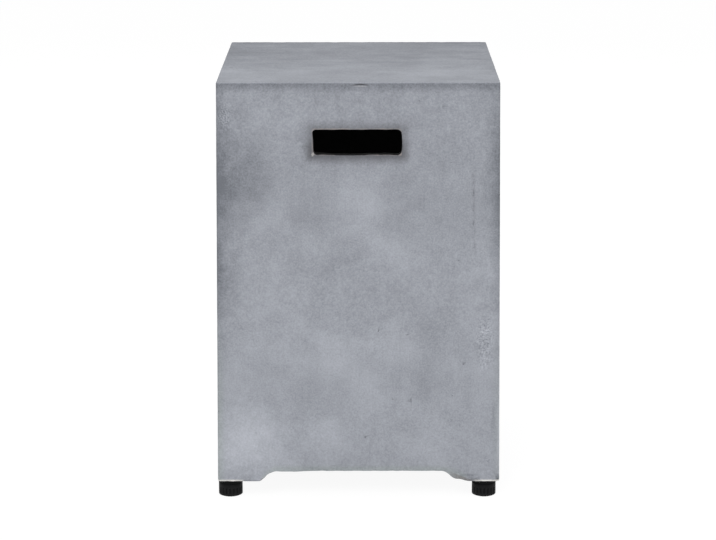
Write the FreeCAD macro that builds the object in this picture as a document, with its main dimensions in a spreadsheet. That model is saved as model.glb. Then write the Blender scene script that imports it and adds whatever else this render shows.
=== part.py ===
import FreeCAD, Part
import math
import os

import Sketcher

# Cover table for an upright gas cylinder: one cast fibre-cement shell, open below, that stands on four
# screw-adjusted levelling feet.
# The frame has its origin on the floor under the middle of the table, +Z up, and the front on the -Y side.
# Lengths are in millimetres.

# Driving sizes: alias, value and meaning.
SHELL_SIZES = [
    ("base_width", 406.4, "outer width of the shell at its bottom edge"),
    ("base_depth", 406.4, "outer depth of the shell at its bottom edge"),
    ("shell_height", 581.0, "from the shell's bottom edge to the table top"),
    ("wall_lean", 5.6, "how far each wall leans in from its bottom edge to the table top"),
    ("wall", 14.0, "thickness of the four walls"),
    ("roof", 18.0, "thickness of the table top"),
    ("corner_round", 3.0, "outer radius of the four upright corners"),
    ("rim_round", 2.0, "outer radius round the table top"),
    ("cavity_round", 10.0, "inner radius of the four upright corners"),
    ("roof_round", 9.0, "inner radius where the walls meet the table top"),
]
SLOT_SIZES = [
    ("slot_width", 124.0, "hand slot, across"),
    ("slot_height", 36.0, "hand slot, up and down"),
    ("slot_drop", 66.5, "from the table top down to the hand slot's upper edge"),
    ("slot_round", 5.0, "corner radius of the hand slot"),
    ("slot_lip", 1.0, "radius of the hand slot's outer lip"),
]
ARCH_SIZES = [
    ("arch_rise", 15.5, "height of the arch in each wall's bottom edge"),
    ("arch_sink", 1.0, "how far under the bottom edge the arch's two end curves level out"),
    ("left_toe", 56.5, "from the shell's left side to the end of the arch's left curve"),
    ("left_run", 28.0, "width of the arch's left curve"),
    ("left_crown", 24.0, "upper radius of the arch's left curve"),
    ("right_toe", 31.0, "from the shell's right side to the end of the arch's right curve"),
    ("right_run", 54.0, "width of the arch's right curve"),
    ("right_crown", 16.0, "upper radius of the arch's right curve"),
]
SOCKET_SIZES = [
    ("foot_inset", 19.5, "from the outer faces at the bottom edge to a foot's axis"),
    ("foot_shift", 2.0, "how far the four sockets were cast to the left of centre"),
    ("socket_wall", 15.5, "concrete beside an insert's flange, towards the cavity"),
    ("socket_roof", 24.0, "concrete above a socket, up to the top of its corner block"),
    ("block_slope", 12.0, "bevel along the top of a corner block"),
    ("thread_clearance", 0.05, "round the bolt's shank inside the threaded insert"),
    ("insert_length", 25.0, "threaded insert, overall"),
    ("insert_wall", 1.95, "threaded insert's wall, from its bore to its barrel"),
    ("flange_step", 3.0, "how far the insert's lower flange stands out from its barrel"),
    ("flange_thickness", 1.6, "insert's lower flange"),
    ("anchor_step", 2.0, "how far the insert's upper anchor ring stands out from its barrel"),
    ("anchor_thickness", 2.5, "insert's upper anchor ring"),
    ("bolt_end_room", 4.0, "free depth past the bolt's tip in its socket"),
    ("bolt_hole_room", 1.0, "round the bolt's shank past the insert"),
]
BOLT_SIZES = [
    ("bolt_diameter", 8.0, "levelling bolt's shank"),
    ("bolt_length", 50.0, "levelling bolt, under its head"),
    ("bolt_bevel", 0.9, "bevel at the levelling bolt's tip"),
    ("head_width", 13.0, "levelling bolt's hexagon head, across flats"),
    ("head_height", 5.3, "levelling bolt's head"),
    ("head_gap", 0.2, "between the bolt's head and the pad"),
    ("head_clearance", 0.1, "round the bolt's head and shank inside the foot"),
]
FOOT_SIZES = [
    ("foot_height", 25.0, "from the floor to the shell's bottom edge"),
    ("seat_gap", 0.5, "between the foot's top and the shell's bottom edge"),
    ("foot_rim", 2.25, "foot's wall round its recess"),
    ("foot_bevel", 0.8, "bevel at the foot's upper and lower edges"),
    ("hub_wall", 1.9, "foot's wall between the bolt's head and the swivel groove"),
    ("flange_height", 4.0, "plain band at the top of the foot"),
    ("neck_height", 1.6, "groove under that band"),
    ("neck_depth", 1.1, "depth of that groove"),
    ("flute_start", 4.0, "from the floor to the lower end of the grip flutes"),
    ("flute_length", 9.5, "grip flute, up and down"),
    ("flute_radius", 1.6, "radius of a grip flute"),
    ("flute_depth", 0.9, "depth of a grip flute"),
    ("flute_count", 20.0, "grip flutes round the foot"),
]
PAD_SIZES = [
    ("pad_thickness", 3.5, "swivel pad's disc"),
    ("pad_proud", 1.0, "how far the pad stands out under the foot"),
    ("pad_bevel", 0.4, "bevel at the pad's lower edge"),
    ("pad_rim", 2.5, "pad's disc outside its swivel ring"),
    ("pad_room", 0.5, "round the pad inside the foot's recess"),
    ("ring_thickness", 2.4, "swivel ring's wall"),
    ("ring_height", 2.6, "swivel ring, above the pad's disc"),
    ("ring_room", 0.4, "above the swivel ring in its groove"),
    ("swivel_clearance", 0.08, "round the swivel ring, inside and outside"),
]
SIZES = SHELL_SIZES + SLOT_SIZES + ARCH_SIZES + SOCKET_SIZES + BOLT_SIZES + FOOT_SIZES + PAD_SIZES

# The four corners: name, side across (-1 is left) and side in depth (-1 is the front).
CORNERS = [
    ("front_left", -1, -1),
    ("front_right", 1, -1),
    ("back_left", -1, 1),
    ("back_right", 1, 1),
]

FULL_TURN = 360.0
# How near an edge lies to where it is looked for.
TOUCH = 0.01

# Places and radii that several sub-parts share, as formulas over the driving sizes.
HALF_WIDTH = "Sizes.base_width / 2"
HALF_DEPTH = "Sizes.base_depth / 2"
CAVITY_HEIGHT = "Sizes.shell_height - Sizes.roof"
BOLT_RADIUS = "Sizes.bolt_diameter / 2"
INSERT_BORE = f"{BOLT_RADIUS} + Sizes.thread_clearance"
INSERT_BARREL = f"{INSERT_BORE} + Sizes.insert_wall"
INSERT_FLANGE = f"{INSERT_BARREL} + Sizes.flange_step"
INSERT_ANCHOR = f"{INSERT_BARREL} + Sizes.anchor_step"
ANCHOR_START = "Sizes.insert_length - Sizes.anchor_thickness"
BLOCK_SIZE = f"(Sizes.foot_inset + {INSERT_FLANGE} + Sizes.socket_wall)"
HEAD_BASE = "Sizes.pad_thickness + Sizes.head_gap"
HEAD_SEAT = f"{HEAD_BASE} + Sizes.head_height"
BOLT_TIP = f"{HEAD_SEAT} + Sizes.bolt_length"
SOCKET_DEPTH = f"{BOLT_TIP} - Sizes.foot_height + Sizes.bolt_end_room"
BLOCK_HEIGHT = f"{SOCKET_DEPTH} + Sizes.socket_roof"

# The foot's radii, from the bolt's head outwards. They come to a foot 34.5 mm across.
HEAD_POCKET = "(Sizes.head_width + 2 * Sizes.head_clearance)"
GROOVE_INNER = f"{HEAD_POCKET} / sqrt(3) + Sizes.hub_wall"
RING_INNER = f"{GROOVE_INNER} + Sizes.swivel_clearance"
RING_OUTER = f"{RING_INNER} + Sizes.ring_thickness"
GROOVE_OUTER = f"{RING_OUTER} + Sizes.swivel_clearance"
PAD_RADIUS = f"{RING_OUTER} + Sizes.pad_rim"
RECESS_RADIUS = f"{PAD_RADIUS} + Sizes.pad_room"
FOOT_RADIUS = f"{RECESS_RADIUS} + Sizes.foot_rim"


def make_sheet(doc):
    """The spreadsheet of driving sizes, one row for each."""
    sheet = doc.addObject("Spreadsheet::Sheet", "Sizes")
    for row, (alias, value, meaning) in enumerate(SIZES, start=1):
        sheet.set(f"A{row}", meaning)
        sheet.set(f"B{row}", str(value))
        sheet.setAlias(f"B{row}", alias)
    doc.recompute()
    return sheet


def value_of(holder, formula):
    """What a formula over the driving sizes comes to, as a plain number."""
    result = holder.evalExpression(formula)
    return float(getattr(result, "Value", result))


def corner_x(side):
    """Formula for the x of a foot's axis on one side."""
    return f"{side} * ({HALF_WIDTH} - Sizes.foot_inset) - Sizes.foot_shift"


def corner_y(side):
    """Formula for the y of a foot's axis on one side."""
    return f"{side} * ({HALF_DEPTH} - Sizes.foot_inset)"


def make_body(doc, label, x="0", y="0", z="0"):
    """An empty body whose place is bound to three formulas."""
    body = doc.addObject("PartDesign::Body", label)
    body.Label = label
    body.setExpression("Placement.Base.x", x)
    body.setExpression("Placement.Base.y", y)
    body.setExpression("Placement.Base.z", z)
    return body


def origin_plane(body, role):
    """One of the body's own origin planes."""
    return next(item for item in body.Origin.OriginFeatures if item.Role == role)


def make_sketch(body, name, role="XY_Plane", lift="0"):
    """A sketch on an origin plane, lifted off it by a formula."""
    sketch = body.newObject("Sketcher::SketchObject", f"{body.Name}_{name}")
    sketch.AttachmentSupport = [(origin_plane(body, role), "")]
    sketch.MapMode = "FlatFace"
    sketch.setExpression("AttachmentOffset.Base.z", lift)
    return sketch


def bind(sketch, kind, where, formula, name):
    """A sketch dimension that follows a formula."""
    number = value_of(sketch, formula)
    index = sketch.addConstraint(Sketcher.Constraint(kind, *where, number))
    sketch.renameConstraint(index, name)
    sketch.setExpression(f"Constraints.{name}", formula)


def point_at(sketch, x, y):
    """The point of a sketch that two formulas give."""
    return FreeCAD.Vector(value_of(sketch, x), value_of(sketch, y), 0)


def place_point(sketch, item, end, x, y, name):
    """Ties a point of the sketch to two formulas, measured from the sketch's origin."""
    bind(sketch, "DistanceX", (-1, 1, item, end), x, f"{name}_x")
    bind(sketch, "DistanceY", (-1, 1, item, end), y, f"{name}_y")


def add_line(sketch, start, end):
    """A line between two points that are each given by two formulas, not yet tied to them."""
    return sketch.addGeometry(Part.LineSegment(point_at(sketch, *start), point_at(sketch, *end)), False)


def add_outline(sketch, corners, name="corner"):
    """A closed outline of straight lines through corners that are each given by two formulas."""
    following = corners[1:] + corners[:1]
    lines = [add_line(sketch, start, end) for start, end in zip(corners, following)]
    for line, after in zip(lines, lines[1:] + lines[:1]):
        sketch.addConstraint(Sketcher.Constraint("Coincident", line, 2, after, 1))
    for number, (line, (x, y)) in enumerate(zip(lines, corners), start=1):
        place_point(sketch, line, 1, x, y, f"{name}{number}")


def add_rectangle(sketch, x_from, x_to, y_from, y_to, name="corner"):
    """A closed rectangle between four formulas."""
    corners = [(x_from, y_from), (x_to, y_from), (x_to, y_to), (x_from, y_to)]
    add_outline(sketch, corners, name)


def add_circle(sketch, x, y, radius, name="circle"):
    """A circle whose centre and radius are formulas."""
    outline = Part.Circle(point_at(sketch, x, y), FreeCAD.Vector(0, 0, 1), value_of(sketch, radius))
    item = sketch.addGeometry(outline, False)
    place_point(sketch, item, 3, x, y, name)
    bind(sketch, "Radius", (item,), radius, f"{name}_radius")


def add_hexagon(sketch, across_flats):
    """A hexagon about the sketch's origin, with two corners on its X axis."""
    reach = f"({across_flats}) / sqrt(3)"
    half_flat = f"({across_flats}) / 2"
    corners = [
        (reach, "0"),
        (f"{reach} / 2", half_flat),
        (f"-{reach} / 2", half_flat),
        (f"-{reach}", "0"),
        (f"-{reach} / 2", f"-{half_flat}"),
        (f"{reach} / 2", f"-{half_flat}"),
    ]
    add_outline(sketch, corners)


def add_pad(body, sketch, length, name):
    """Material from the sketch upwards, away from the floor."""
    pad = body.newObject("PartDesign::Pad", f"{body.Name}_{name}")
    pad.Profile = sketch
    pad.setExpression("Length", length)
    return pad


def add_pocket(body, sketch, depth, name):
    """A pocket cut from the sketch upwards, into the material above it."""
    pocket = body.newObject("PartDesign::Pocket", f"{body.Name}_{name}")
    pocket.Profile = sketch
    pocket.setExpression("Length", depth)
    pocket.Reversed = True
    return pocket


def add_through_cut(body, sketch, name):
    """A cut from the sketch through everything on both sides of it."""
    pocket = body.newObject("PartDesign::Pocket", f"{body.Name}_{name}")
    pocket.Profile = sketch
    pocket.SideType = "Symmetric"
    pocket.Type = "ThroughAll"
    return pocket


def add_revolution(body, sketch, name):
    """A full turn of the sketch about the body's Z axis."""
    turn = body.newObject("PartDesign::Revolution", f"{body.Name}_{name}")
    turn.Profile = sketch
    turn.ReferenceAxis = (sketch, ["V_Axis"])
    turn.Angle = FULL_TURN


def edges_where(feature, test):
    """Names of a feature's edges that pass a test on their bounding box."""
    edges = enumerate(feature.Shape.Edges, start=1)
    return [f"Edge{number}" for number, edge in edges if test(edge.BoundBox)]


def add_edge_work(body, kind, base, edges, formula, name):
    """A fillet or a chamfer on some edges of the last feature."""
    work = body.newObject(f"PartDesign::{kind}", f"{body.Name}_{name}")
    work.Base = (base, edges)
    work.setExpression("Radius" if kind == "Fillet" else "Size", formula)
    return work


def add_leaning_block(body, kind, name, inset, height):
    """A four-sided block whose sides lean in as the shell's outer faces do, added or cut away."""
    block = body.newObject(f"PartDesign::{kind}", f"{body.Name}_{name}")
    block.AttachmentSupport = [(origin_plane(body, "XZ_Plane"), "")]
    block.MapMode = "FlatFace"
    lean = f"Sizes.wall_lean * ({height}) / Sizes.shell_height"
    for axis, half in (("X", HALF_WIDTH), ("Z", HALF_DEPTH)):
        block.setExpression(f"{axis}min", f"-({half} - {inset})")
        block.setExpression(f"{axis}max", f"{half} - {inset}")
        block.setExpression(f"{axis}2min", f"-({half} - {inset} - {lean})")
        block.setExpression(f"{axis}2max", f"{half} - {inset} - {lean}")
    block.setExpression("Ymin", "0")
    block.setExpression("Ymax", height)
    return block


def add_corner_blocks(doc, body):
    """Four thick corners that hold the threaded inserts, bevelled on top."""
    sketch = make_sketch(body, "block_outlines")
    for name, side_x, side_y in CORNERS:
        add_rectangle(
            sketch,
            f"{side_x} * ({HALF_WIDTH} - {BLOCK_SIZE})",
            f"{side_x} * ({HALF_WIDTH} - Sizes.wall / 2)",
            f"{side_y} * ({HALF_DEPTH} - {BLOCK_SIZE})",
            f"{side_y} * ({HALF_DEPTH} - Sizes.wall / 2)",
            name,
        )
    blocks = add_pad(body, sketch, BLOCK_HEIGHT, "blocks")
    doc.recompute()
    top = value_of(body, BLOCK_HEIGHT)
    inner_x = value_of(body, f"{HALF_WIDTH} - {BLOCK_SIZE}")
    inner_y = value_of(body, f"{HALF_DEPTH} - {BLOCK_SIZE}")

    def is_inner_top(box):
        level = abs(box.ZMin - top) < TOUCH and box.ZLength < TOUCH
        on_x = abs(abs(box.Center.x) - inner_x) < TOUCH and box.XLength < TOUCH
        on_y = abs(abs(box.Center.y) - inner_y) < TOUCH and box.YLength < TOUCH
        return level and (on_x or on_y)

    bevelled = edges_where(blocks, is_inner_top)
    add_edge_work(body, "Chamfer", blocks, bevelled, "Sizes.block_slope", "block_tops")
    doc.recompute()


def add_arch_end(sketch, side, end_x, crown_x, crown_radius, top_line, top_end, name):
    """One end of the arch: an upper curve and a lower curve that meet in one slope.

    Returns the lower curve and the end of it that lies under the shell's bottom edge.
    """
    rise = value_of(sketch, "Sizes.arch_rise")
    sink = value_of(sketch, "Sizes.arch_sink")
    x_end = value_of(sketch, end_x)
    x_crown = value_of(sketch, crown_x)
    upper = value_of(sketch, crown_radius)
    run = abs(x_end - x_crown)
    drop = rise + sink
    lower = (run ** 2 + drop ** 2) / (2 * drop) - upper
    slope = 2 * math.atan2(drop, run)
    upright = math.pi / 2
    upper_centre = FreeCAD.Vector(x_crown, rise - upper, 0)
    lower_centre = FreeCAD.Vector(x_end, lower - sink, 0)
    axis = FreeCAD.Vector(0, 0, 1)
    spans = [(upright - slope, upright), (3 * upright - slope, 3 * upright)]
    if side < 0:
        spans = [(upright, upright + slope), (3 * upright, 3 * upright + slope)]
    crown = sketch.addGeometry(Part.ArcOfCircle(Part.Circle(upper_centre, axis, upper), *spans[0]), False)
    toe = sketch.addGeometry(Part.ArcOfCircle(Part.Circle(lower_centre, axis, lower), *spans[1]), False)
    crown_top, crown_low = (2, 1) if side > 0 else (1, 2)
    toe_top, toe_low = (1, 2) if side > 0 else (2, 1)
    sketch.addConstraint(Sketcher.Constraint("Tangent", top_line, top_end, crown, crown_top))
    sketch.addConstraint(Sketcher.Constraint("Tangent", crown, crown_low, toe, toe_top))
    sketch.addConstraint(Sketcher.Constraint("Vertical", toe, 3, toe, toe_low))
    bind(sketch, "DistanceX", (-1, 1, crown, crown_top), crown_x, f"{name}_crown_x")
    bind(sketch, "Radius", (crown,), crown_radius, f"{name}_crown_radius")
    place_point(sketch, toe, toe_low, end_x, "-Sizes.arch_sink", f"{name}_toe")
    return toe, toe_low


def add_arch(body, role, half, name):
    """The shallow arch cut through two opposite walls' bottom edges."""
    sketch = make_sketch(body, f"{name}_outline", role)
    left_end = f"-({half} - Sizes.left_toe)"
    left_crown = f"{left_end} + Sizes.left_run"
    right_end = f"{half} - Sizes.right_toe"
    right_crown = f"{right_end} - Sizes.right_run"
    rise = "Sizes.arch_rise"
    sink = "-Sizes.arch_sink"
    skirt = "-Sizes.arch_sink - Sizes.arch_rise"
    top = add_line(sketch, (left_crown, rise), (right_crown, rise))
    sketch.addConstraint(Sketcher.Constraint("Horizontal", top))
    bind(sketch, "DistanceY", (-1, 1, top, 1), rise, "rise")
    left = add_arch_end(sketch, -1, left_end, left_crown, "Sizes.left_crown", top, 1, "left")
    right = add_arch_end(sketch, 1, right_end, right_crown, "Sizes.right_crown", top, 2, "right")
    bottom = add_line(sketch, (left_end, skirt), (right_end, skirt))
    sketch.addConstraint(Sketcher.Constraint("Horizontal", bottom))
    bind(sketch, "DistanceY", (-1, 1, bottom, 1), skirt, "skirt")
    for x, (toe, toe_low), bottom_end in ((left_end, left, 1), (right_end, right, 2)):
        side = add_line(sketch, (x, sink), (x, skirt))
        sketch.addConstraint(Sketcher.Constraint("Vertical", side))
        sketch.addConstraint(Sketcher.Constraint("Coincident", side, 1, toe, toe_low))
        sketch.addConstraint(Sketcher.Constraint("Coincident", side, 2, bottom, bottom_end))
    add_through_cut(body, sketch, name)


def add_hand_slots(doc, body):
    """One hand slot in the front wall and one in the back wall, in line."""
    sketch = make_sketch(body, "slot_outline", "XZ_Plane")
    upper = "Sizes.shell_height - Sizes.slot_drop"
    lower = f"{upper} - Sizes.slot_height"
    add_rectangle(sketch, "-Sizes.slot_width / 2", "Sizes.slot_width / 2", lower, upper)
    slots = add_through_cut(body, sketch, "slots")
    doc.recompute()
    half_width = value_of(body, "Sizes.slot_width / 2")
    top = value_of(body, upper)
    bottom = value_of(body, lower)

    def is_slot_corner(box):
        across = abs(abs(box.Center.x) - half_width) < TOUCH and box.XLength < TOUCH
        level = min(abs(box.Center.z - top), abs(box.Center.z - bottom)) < TOUCH
        return across and level and box.YLength > TOUCH

    corners = edges_where(slots, is_slot_corner)
    rounded = add_edge_work(body, "Fillet", slots, corners, "Sizes.slot_round", "slot_corners")
    doc.recompute()
    lean = "Sizes.wall_lean / Sizes.shell_height"
    face_low = value_of(body, f"{HALF_DEPTH} - {lean} * ({upper})")
    face_high = value_of(body, f"{HALF_DEPTH} - {lean} * ({lower})")

    def is_outer_lip(box):
        nearest = min(abs(box.YMin), abs(box.YMax))
        furthest = max(abs(box.YMin), abs(box.YMax))
        outside = nearest > face_low - TOUCH and furthest < face_high + TOUCH
        beside = max(abs(box.XMin), abs(box.XMax)) < half_width + TOUCH
        return outside and beside and bottom - TOUCH < box.ZMin and box.ZMax < top + TOUCH

    lip = edges_where(rounded, is_outer_lip)
    add_edge_work(body, "Fillet", rounded, lip, "Sizes.slot_lip", "slot_lips")
    doc.recompute()


def add_insert_sockets(body):
    """Four stepped sockets, each shaped round its insert, with free depth for the bolt's tip."""
    steps = [
        ("flange", "0", "Sizes.flange_thickness", INSERT_FLANGE),
        ("barrel", "0", "Sizes.insert_length", INSERT_BARREL),
        ("anchor", ANCHOR_START, "Sizes.anchor_thickness", INSERT_ANCHOR),
        ("bolt_end", "0", SOCKET_DEPTH, f"{BOLT_RADIUS} + Sizes.bolt_hole_room"),
    ]
    for step, lift, depth, radius in steps:
        sketch = make_sketch(body, f"{step}_circles", lift=lift)
        for name, side_x, side_y in CORNERS:
            add_circle(sketch, corner_x(side_x), corner_y(side_y), radius, name)
        sockets = add_pocket(body, sketch, depth, f"{step}_sockets")
    return sockets


def round_cavity(doc, body, base):
    """Rounds the cavity's upright corners above the blocks, then the edges under its ceiling."""
    ceiling = value_of(body, CAVITY_HEIGHT)
    block_top = value_of(body, BLOCK_HEIGHT)
    inside = value_of(body, f"{HALF_WIDTH} - Sizes.wall") + TOUCH

    def is_upright(box):
        rises = abs(box.ZMin - block_top) < TOUCH and abs(box.ZMax - ceiling) < TOUCH
        return rises and abs(box.Center.x) < inside

    uprights = edges_where(base, is_upright)
    corners = add_edge_work(body, "Fillet", base, uprights, "Sizes.cavity_round", "cavity_corners")
    doc.recompute()
    top = edges_where(corners, lambda box: abs(box.ZMin - ceiling) < TOUCH and box.ZLength < TOUCH)
    rounded = add_edge_work(body, "Fillet", corners, top, "Sizes.roof_round", "cavity_ceiling")
    doc.recompute()
    return rounded


def round_outside(doc, body, base):
    """Rounds the shell's four outer upright corners, then the rim of the table top."""
    height = value_of(body, "Sizes.shell_height")
    uprights = edges_where(base, lambda box: box.ZLength > height - TOUCH)
    corners = add_edge_work(body, "Fillet", base, uprights, "Sizes.corner_round", "corners")
    doc.recompute()
    rim = edges_where(corners, lambda box: box.ZMin > height - TOUCH)
    add_edge_work(body, "Fillet", corners, rim, "Sizes.rim_round", "rim")
    doc.recompute()


def make_shell(doc):
    """The cast shell, in a frame whose floor is its own bottom edge."""
    body = make_body(doc, "shell", z="Sizes.foot_height")
    add_leaning_block(body, "AdditiveWedge", "casting", "0", "Sizes.shell_height")
    add_leaning_block(body, "SubtractiveWedge", "cavity", "Sizes.wall", CAVITY_HEIGHT)
    add_corner_blocks(doc, body)
    add_arch(body, "XZ_Plane", HALF_WIDTH, "front_back_arches")
    add_arch(body, "YZ_Plane", HALF_DEPTH, "side_arches")
    add_hand_slots(doc, body)
    sockets = add_insert_sockets(body)
    doc.recompute()
    round_outside(doc, body, round_cavity(doc, body, sockets))
    return body


def make_insert(doc, name, side_x, side_y):
    """A cast-in threaded insert: flange below, barrel, and an anchor ring on top."""
    body = make_body(doc, f"threaded_insert_{name}", corner_x(side_x), corner_y(side_y), "Sizes.foot_height")
    sketch = make_sketch(body, "profile", "XZ_Plane")
    add_outline(sketch, [
        (INSERT_BORE, "0"),
        (INSERT_FLANGE, "0"),
        (INSERT_FLANGE, "Sizes.flange_thickness"),
        (INSERT_BARREL, "Sizes.flange_thickness"),
        (INSERT_BARREL, ANCHOR_START),
        (INSERT_ANCHOR, ANCHOR_START),
        (INSERT_ANCHOR, "Sizes.insert_length"),
        (INSERT_BORE, "Sizes.insert_length"),
    ])
    add_revolution(body, sketch, "turned")
    return body


def make_bolt(doc, name, side_x, side_y):
    """A levelling bolt that stands head down in its foot."""
    body = make_body(doc, f"levelling_bolt_{name}", corner_x(side_x), corner_y(side_y))
    shank = make_sketch(body, "shank_profile", "XZ_Plane")
    add_outline(shank, [
        ("0", HEAD_SEAT),
        (BOLT_RADIUS, HEAD_SEAT),
        (BOLT_RADIUS, f"{BOLT_TIP} - Sizes.bolt_bevel"),
        (f"{BOLT_RADIUS} - Sizes.bolt_bevel", BOLT_TIP),
        ("0", BOLT_TIP),
    ])
    add_revolution(body, shank, "shank")
    head = make_sketch(body, "head_outline", lift=HEAD_BASE)
    add_hexagon(head, "Sizes.head_width")
    add_pad(body, head, "Sizes.head_height", "head")
    return body


def add_foot_turning(body):
    """The foot's turned form: bands outside, and a recess, a ring groove and a bolt hole inside."""
    bevelled = f"{FOOT_RADIUS} - Sizes.foot_bevel"
    neck = f"{FOOT_RADIUS} - Sizes.neck_depth"
    top = "Sizes.foot_height - Sizes.seat_gap"
    flange_base = f"{top} - Sizes.flange_height"
    neck_base = f"{flange_base} - Sizes.neck_height"
    groove_top = "Sizes.pad_thickness + Sizes.ring_height + Sizes.ring_room"
    hole = f"{BOLT_RADIUS} + Sizes.head_clearance"
    sketch = make_sketch(body, "profile", "XZ_Plane")
    add_outline(sketch, [
        (hole, top),
        (bevelled, top),
        (FOOT_RADIUS, f"{top} - Sizes.foot_bevel"),
        (FOOT_RADIUS, flange_base),
        (neck, flange_base),
        (neck, neck_base),
        (FOOT_RADIUS, neck_base),
        (FOOT_RADIUS, "Sizes.pad_proud + Sizes.foot_bevel"),
        (bevelled, "Sizes.pad_proud"),
        (RECESS_RADIUS, "Sizes.pad_proud"),
        (RECESS_RADIUS, "Sizes.pad_thickness"),
        (GROOVE_OUTER, "Sizes.pad_thickness"),
        (GROOVE_OUTER, groove_top),
        (GROOVE_INNER, groove_top),
        (GROOVE_INNER, "Sizes.pad_thickness"),
        (hole, "Sizes.pad_thickness"),
    ])
    add_revolution(body, sketch, "turned")


def add_grip_flutes(doc, body):
    """The flutes round the foot that fingers turn it by."""
    sketch = make_sketch(body, "flute_circle", lift="Sizes.flute_start")
    reach = f"{FOOT_RADIUS} + Sizes.flute_radius - Sizes.flute_depth"
    add_circle(sketch, reach, "0", "Sizes.flute_radius")
    flute = add_pocket(body, sketch, "Sizes.flute_length", "flute")
    doc.recompute()
    flutes = body.newObject("PartDesign::PolarPattern", f"{body.Name}_flutes")
    flutes.Originals = [flute]
    flutes.Axis = (sketch, ["N_Axis"])
    flutes.Angle = FULL_TURN
    flutes.setExpression("Occurrences", "Sizes.flute_count")
    body.Tip = flutes
    doc.recompute()


def make_foot(doc, name, side_x, side_y):
    """A moulded levelling foot that holds the bolt's head and turns with it."""
    body = make_body(doc, f"levelling_foot_{name}", corner_x(side_x), corner_y(side_y))
    add_foot_turning(body)
    head = make_sketch(body, "head_outline", lift="Sizes.pad_thickness")
    add_hexagon(head, HEAD_POCKET)
    add_pocket(body, head, "Sizes.head_gap + Sizes.head_height", "head_pocket")
    add_grip_flutes(doc, body)
    return body


def make_pad(doc, name, side_x, side_y):
    """A swivel pad that stays still on the floor while the foot turns on its ring."""
    body = make_body(doc, f"swivel_pad_{name}", corner_x(side_x), corner_y(side_y))
    ring_top = "Sizes.pad_thickness + Sizes.ring_height"
    sketch = make_sketch(body, "profile", "XZ_Plane")
    add_outline(sketch, [
        ("0", "0"),
        (f"{PAD_RADIUS} - Sizes.pad_bevel", "0"),
        (PAD_RADIUS, "Sizes.pad_bevel"),
        (PAD_RADIUS, "Sizes.pad_thickness"),
        (RING_OUTER, "Sizes.pad_thickness"),
        (RING_OUTER, ring_top),
        (RING_INNER, ring_top),
        (RING_INNER, "Sizes.pad_thickness"),
        ("0", "Sizes.pad_thickness"),
    ])
    add_revolution(body, sketch, "turned")
    return body


def check_document(doc):
    """Stops with a message if any object failed or any sketch is left loose."""
    for item in doc.Objects:
        if "Invalid" in item.State or "Error" in item.State:
            raise RuntimeError(f"{item.Label} failed: {item.State}")
        if item.TypeId == "Sketcher::SketchObject" and not item.FullyConstrained:
            raise RuntimeError(f"{item.Label} isn't fully constrained")


def check_piece(body):
    """Stops with a message unless the piece is one sound solid."""
    shape = body.Shape
    if shape.isNull() or not shape.isValid() or len(shape.Solids) != 1:
        raise RuntimeError(f"{body.Label} isn't one valid solid")


def main():
    """Builds the table, checks every piece and writes one file for each."""
    doc = FreeCAD.newDocument("tank_cover_table")
    make_sheet(doc)
    pieces = [make_shell(doc)]
    for name, side_x, side_y in CORNERS:
        for make in (make_insert, make_bolt, make_foot, make_pad):
            pieces.append(make(doc, name, side_x, side_y))
    doc.recompute()
    check_document(doc)
    for body in pieces:
        check_piece(body)
    os.makedirs("parts", exist_ok=True)
    for body in pieces:
        body.Shape.exportStep(os.path.join("parts", f"{body.Label}.step"))
        print(f"{body.Label}: {body.Shape.Volume / 1000:.2f} cm3")


main()
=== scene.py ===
"""Looks of the tank cover table: a clouded concrete shell that stands on four black levelling feet.

Lengths are in metres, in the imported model's own frame: the floor is z = 0 and the front is on the -Y side.
"""

import logging
import math
from collections.abc import Sequence
from dataclasses import dataclass, field
from enum import Enum

import bmesh
import bpy
from mathutils import Matrix, Vector, noise
from mathutils.bvhtree import BVHTree


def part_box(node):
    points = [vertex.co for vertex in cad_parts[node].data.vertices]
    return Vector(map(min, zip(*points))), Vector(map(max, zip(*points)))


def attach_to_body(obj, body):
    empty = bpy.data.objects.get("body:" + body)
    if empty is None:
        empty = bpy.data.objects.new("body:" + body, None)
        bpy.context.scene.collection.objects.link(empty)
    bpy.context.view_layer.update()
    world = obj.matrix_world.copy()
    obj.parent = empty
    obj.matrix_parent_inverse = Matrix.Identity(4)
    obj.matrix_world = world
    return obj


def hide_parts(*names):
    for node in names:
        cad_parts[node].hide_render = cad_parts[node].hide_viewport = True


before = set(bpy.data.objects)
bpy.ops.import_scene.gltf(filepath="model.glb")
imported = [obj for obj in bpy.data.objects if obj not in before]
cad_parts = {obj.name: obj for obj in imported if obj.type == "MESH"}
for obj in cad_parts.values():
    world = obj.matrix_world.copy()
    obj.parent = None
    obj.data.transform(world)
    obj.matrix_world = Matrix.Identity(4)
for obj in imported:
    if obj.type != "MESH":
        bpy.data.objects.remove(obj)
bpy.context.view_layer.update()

LOG = logging.getLogger("cover_table")
Colour = tuple[float, float, float]
MM = 0.001
TURN = 2 * math.pi
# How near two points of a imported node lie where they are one.
WELD = 1e-6


class Corner(Enum):
    """The four corners, each with a levelling foot of its own."""

    FRONT_LEFT = "front_left"
    FRONT_RIGHT = "front_right"
    BACK_LEFT = "back_left"
    BACK_RIGHT = "back_right"

    def axis(self) -> Vector:
        """Where the upright axis of this corner's foot meets the floor."""
        low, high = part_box(f"levelling_foot_{self.value}")
        return Vector(((low.x + high.x) / 2, (low.y + high.y) / 2, 0))


class Wall(Enum):
    """The four outer walls, with the way each one faces."""

    FRONT = (0, -1)
    BACK = (0, 1)
    LEFT = (-1, 0)
    RIGHT = (1, 0)

    def outward(self) -> Vector:
        """The level direction out of this wall."""
        return Vector((*self.value, 0))

    def sideways(self) -> Vector:
        """The level direction along this wall, to the right of someone who faces it."""
        return Vector((-self.value[1], self.value[0], 0))


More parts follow.
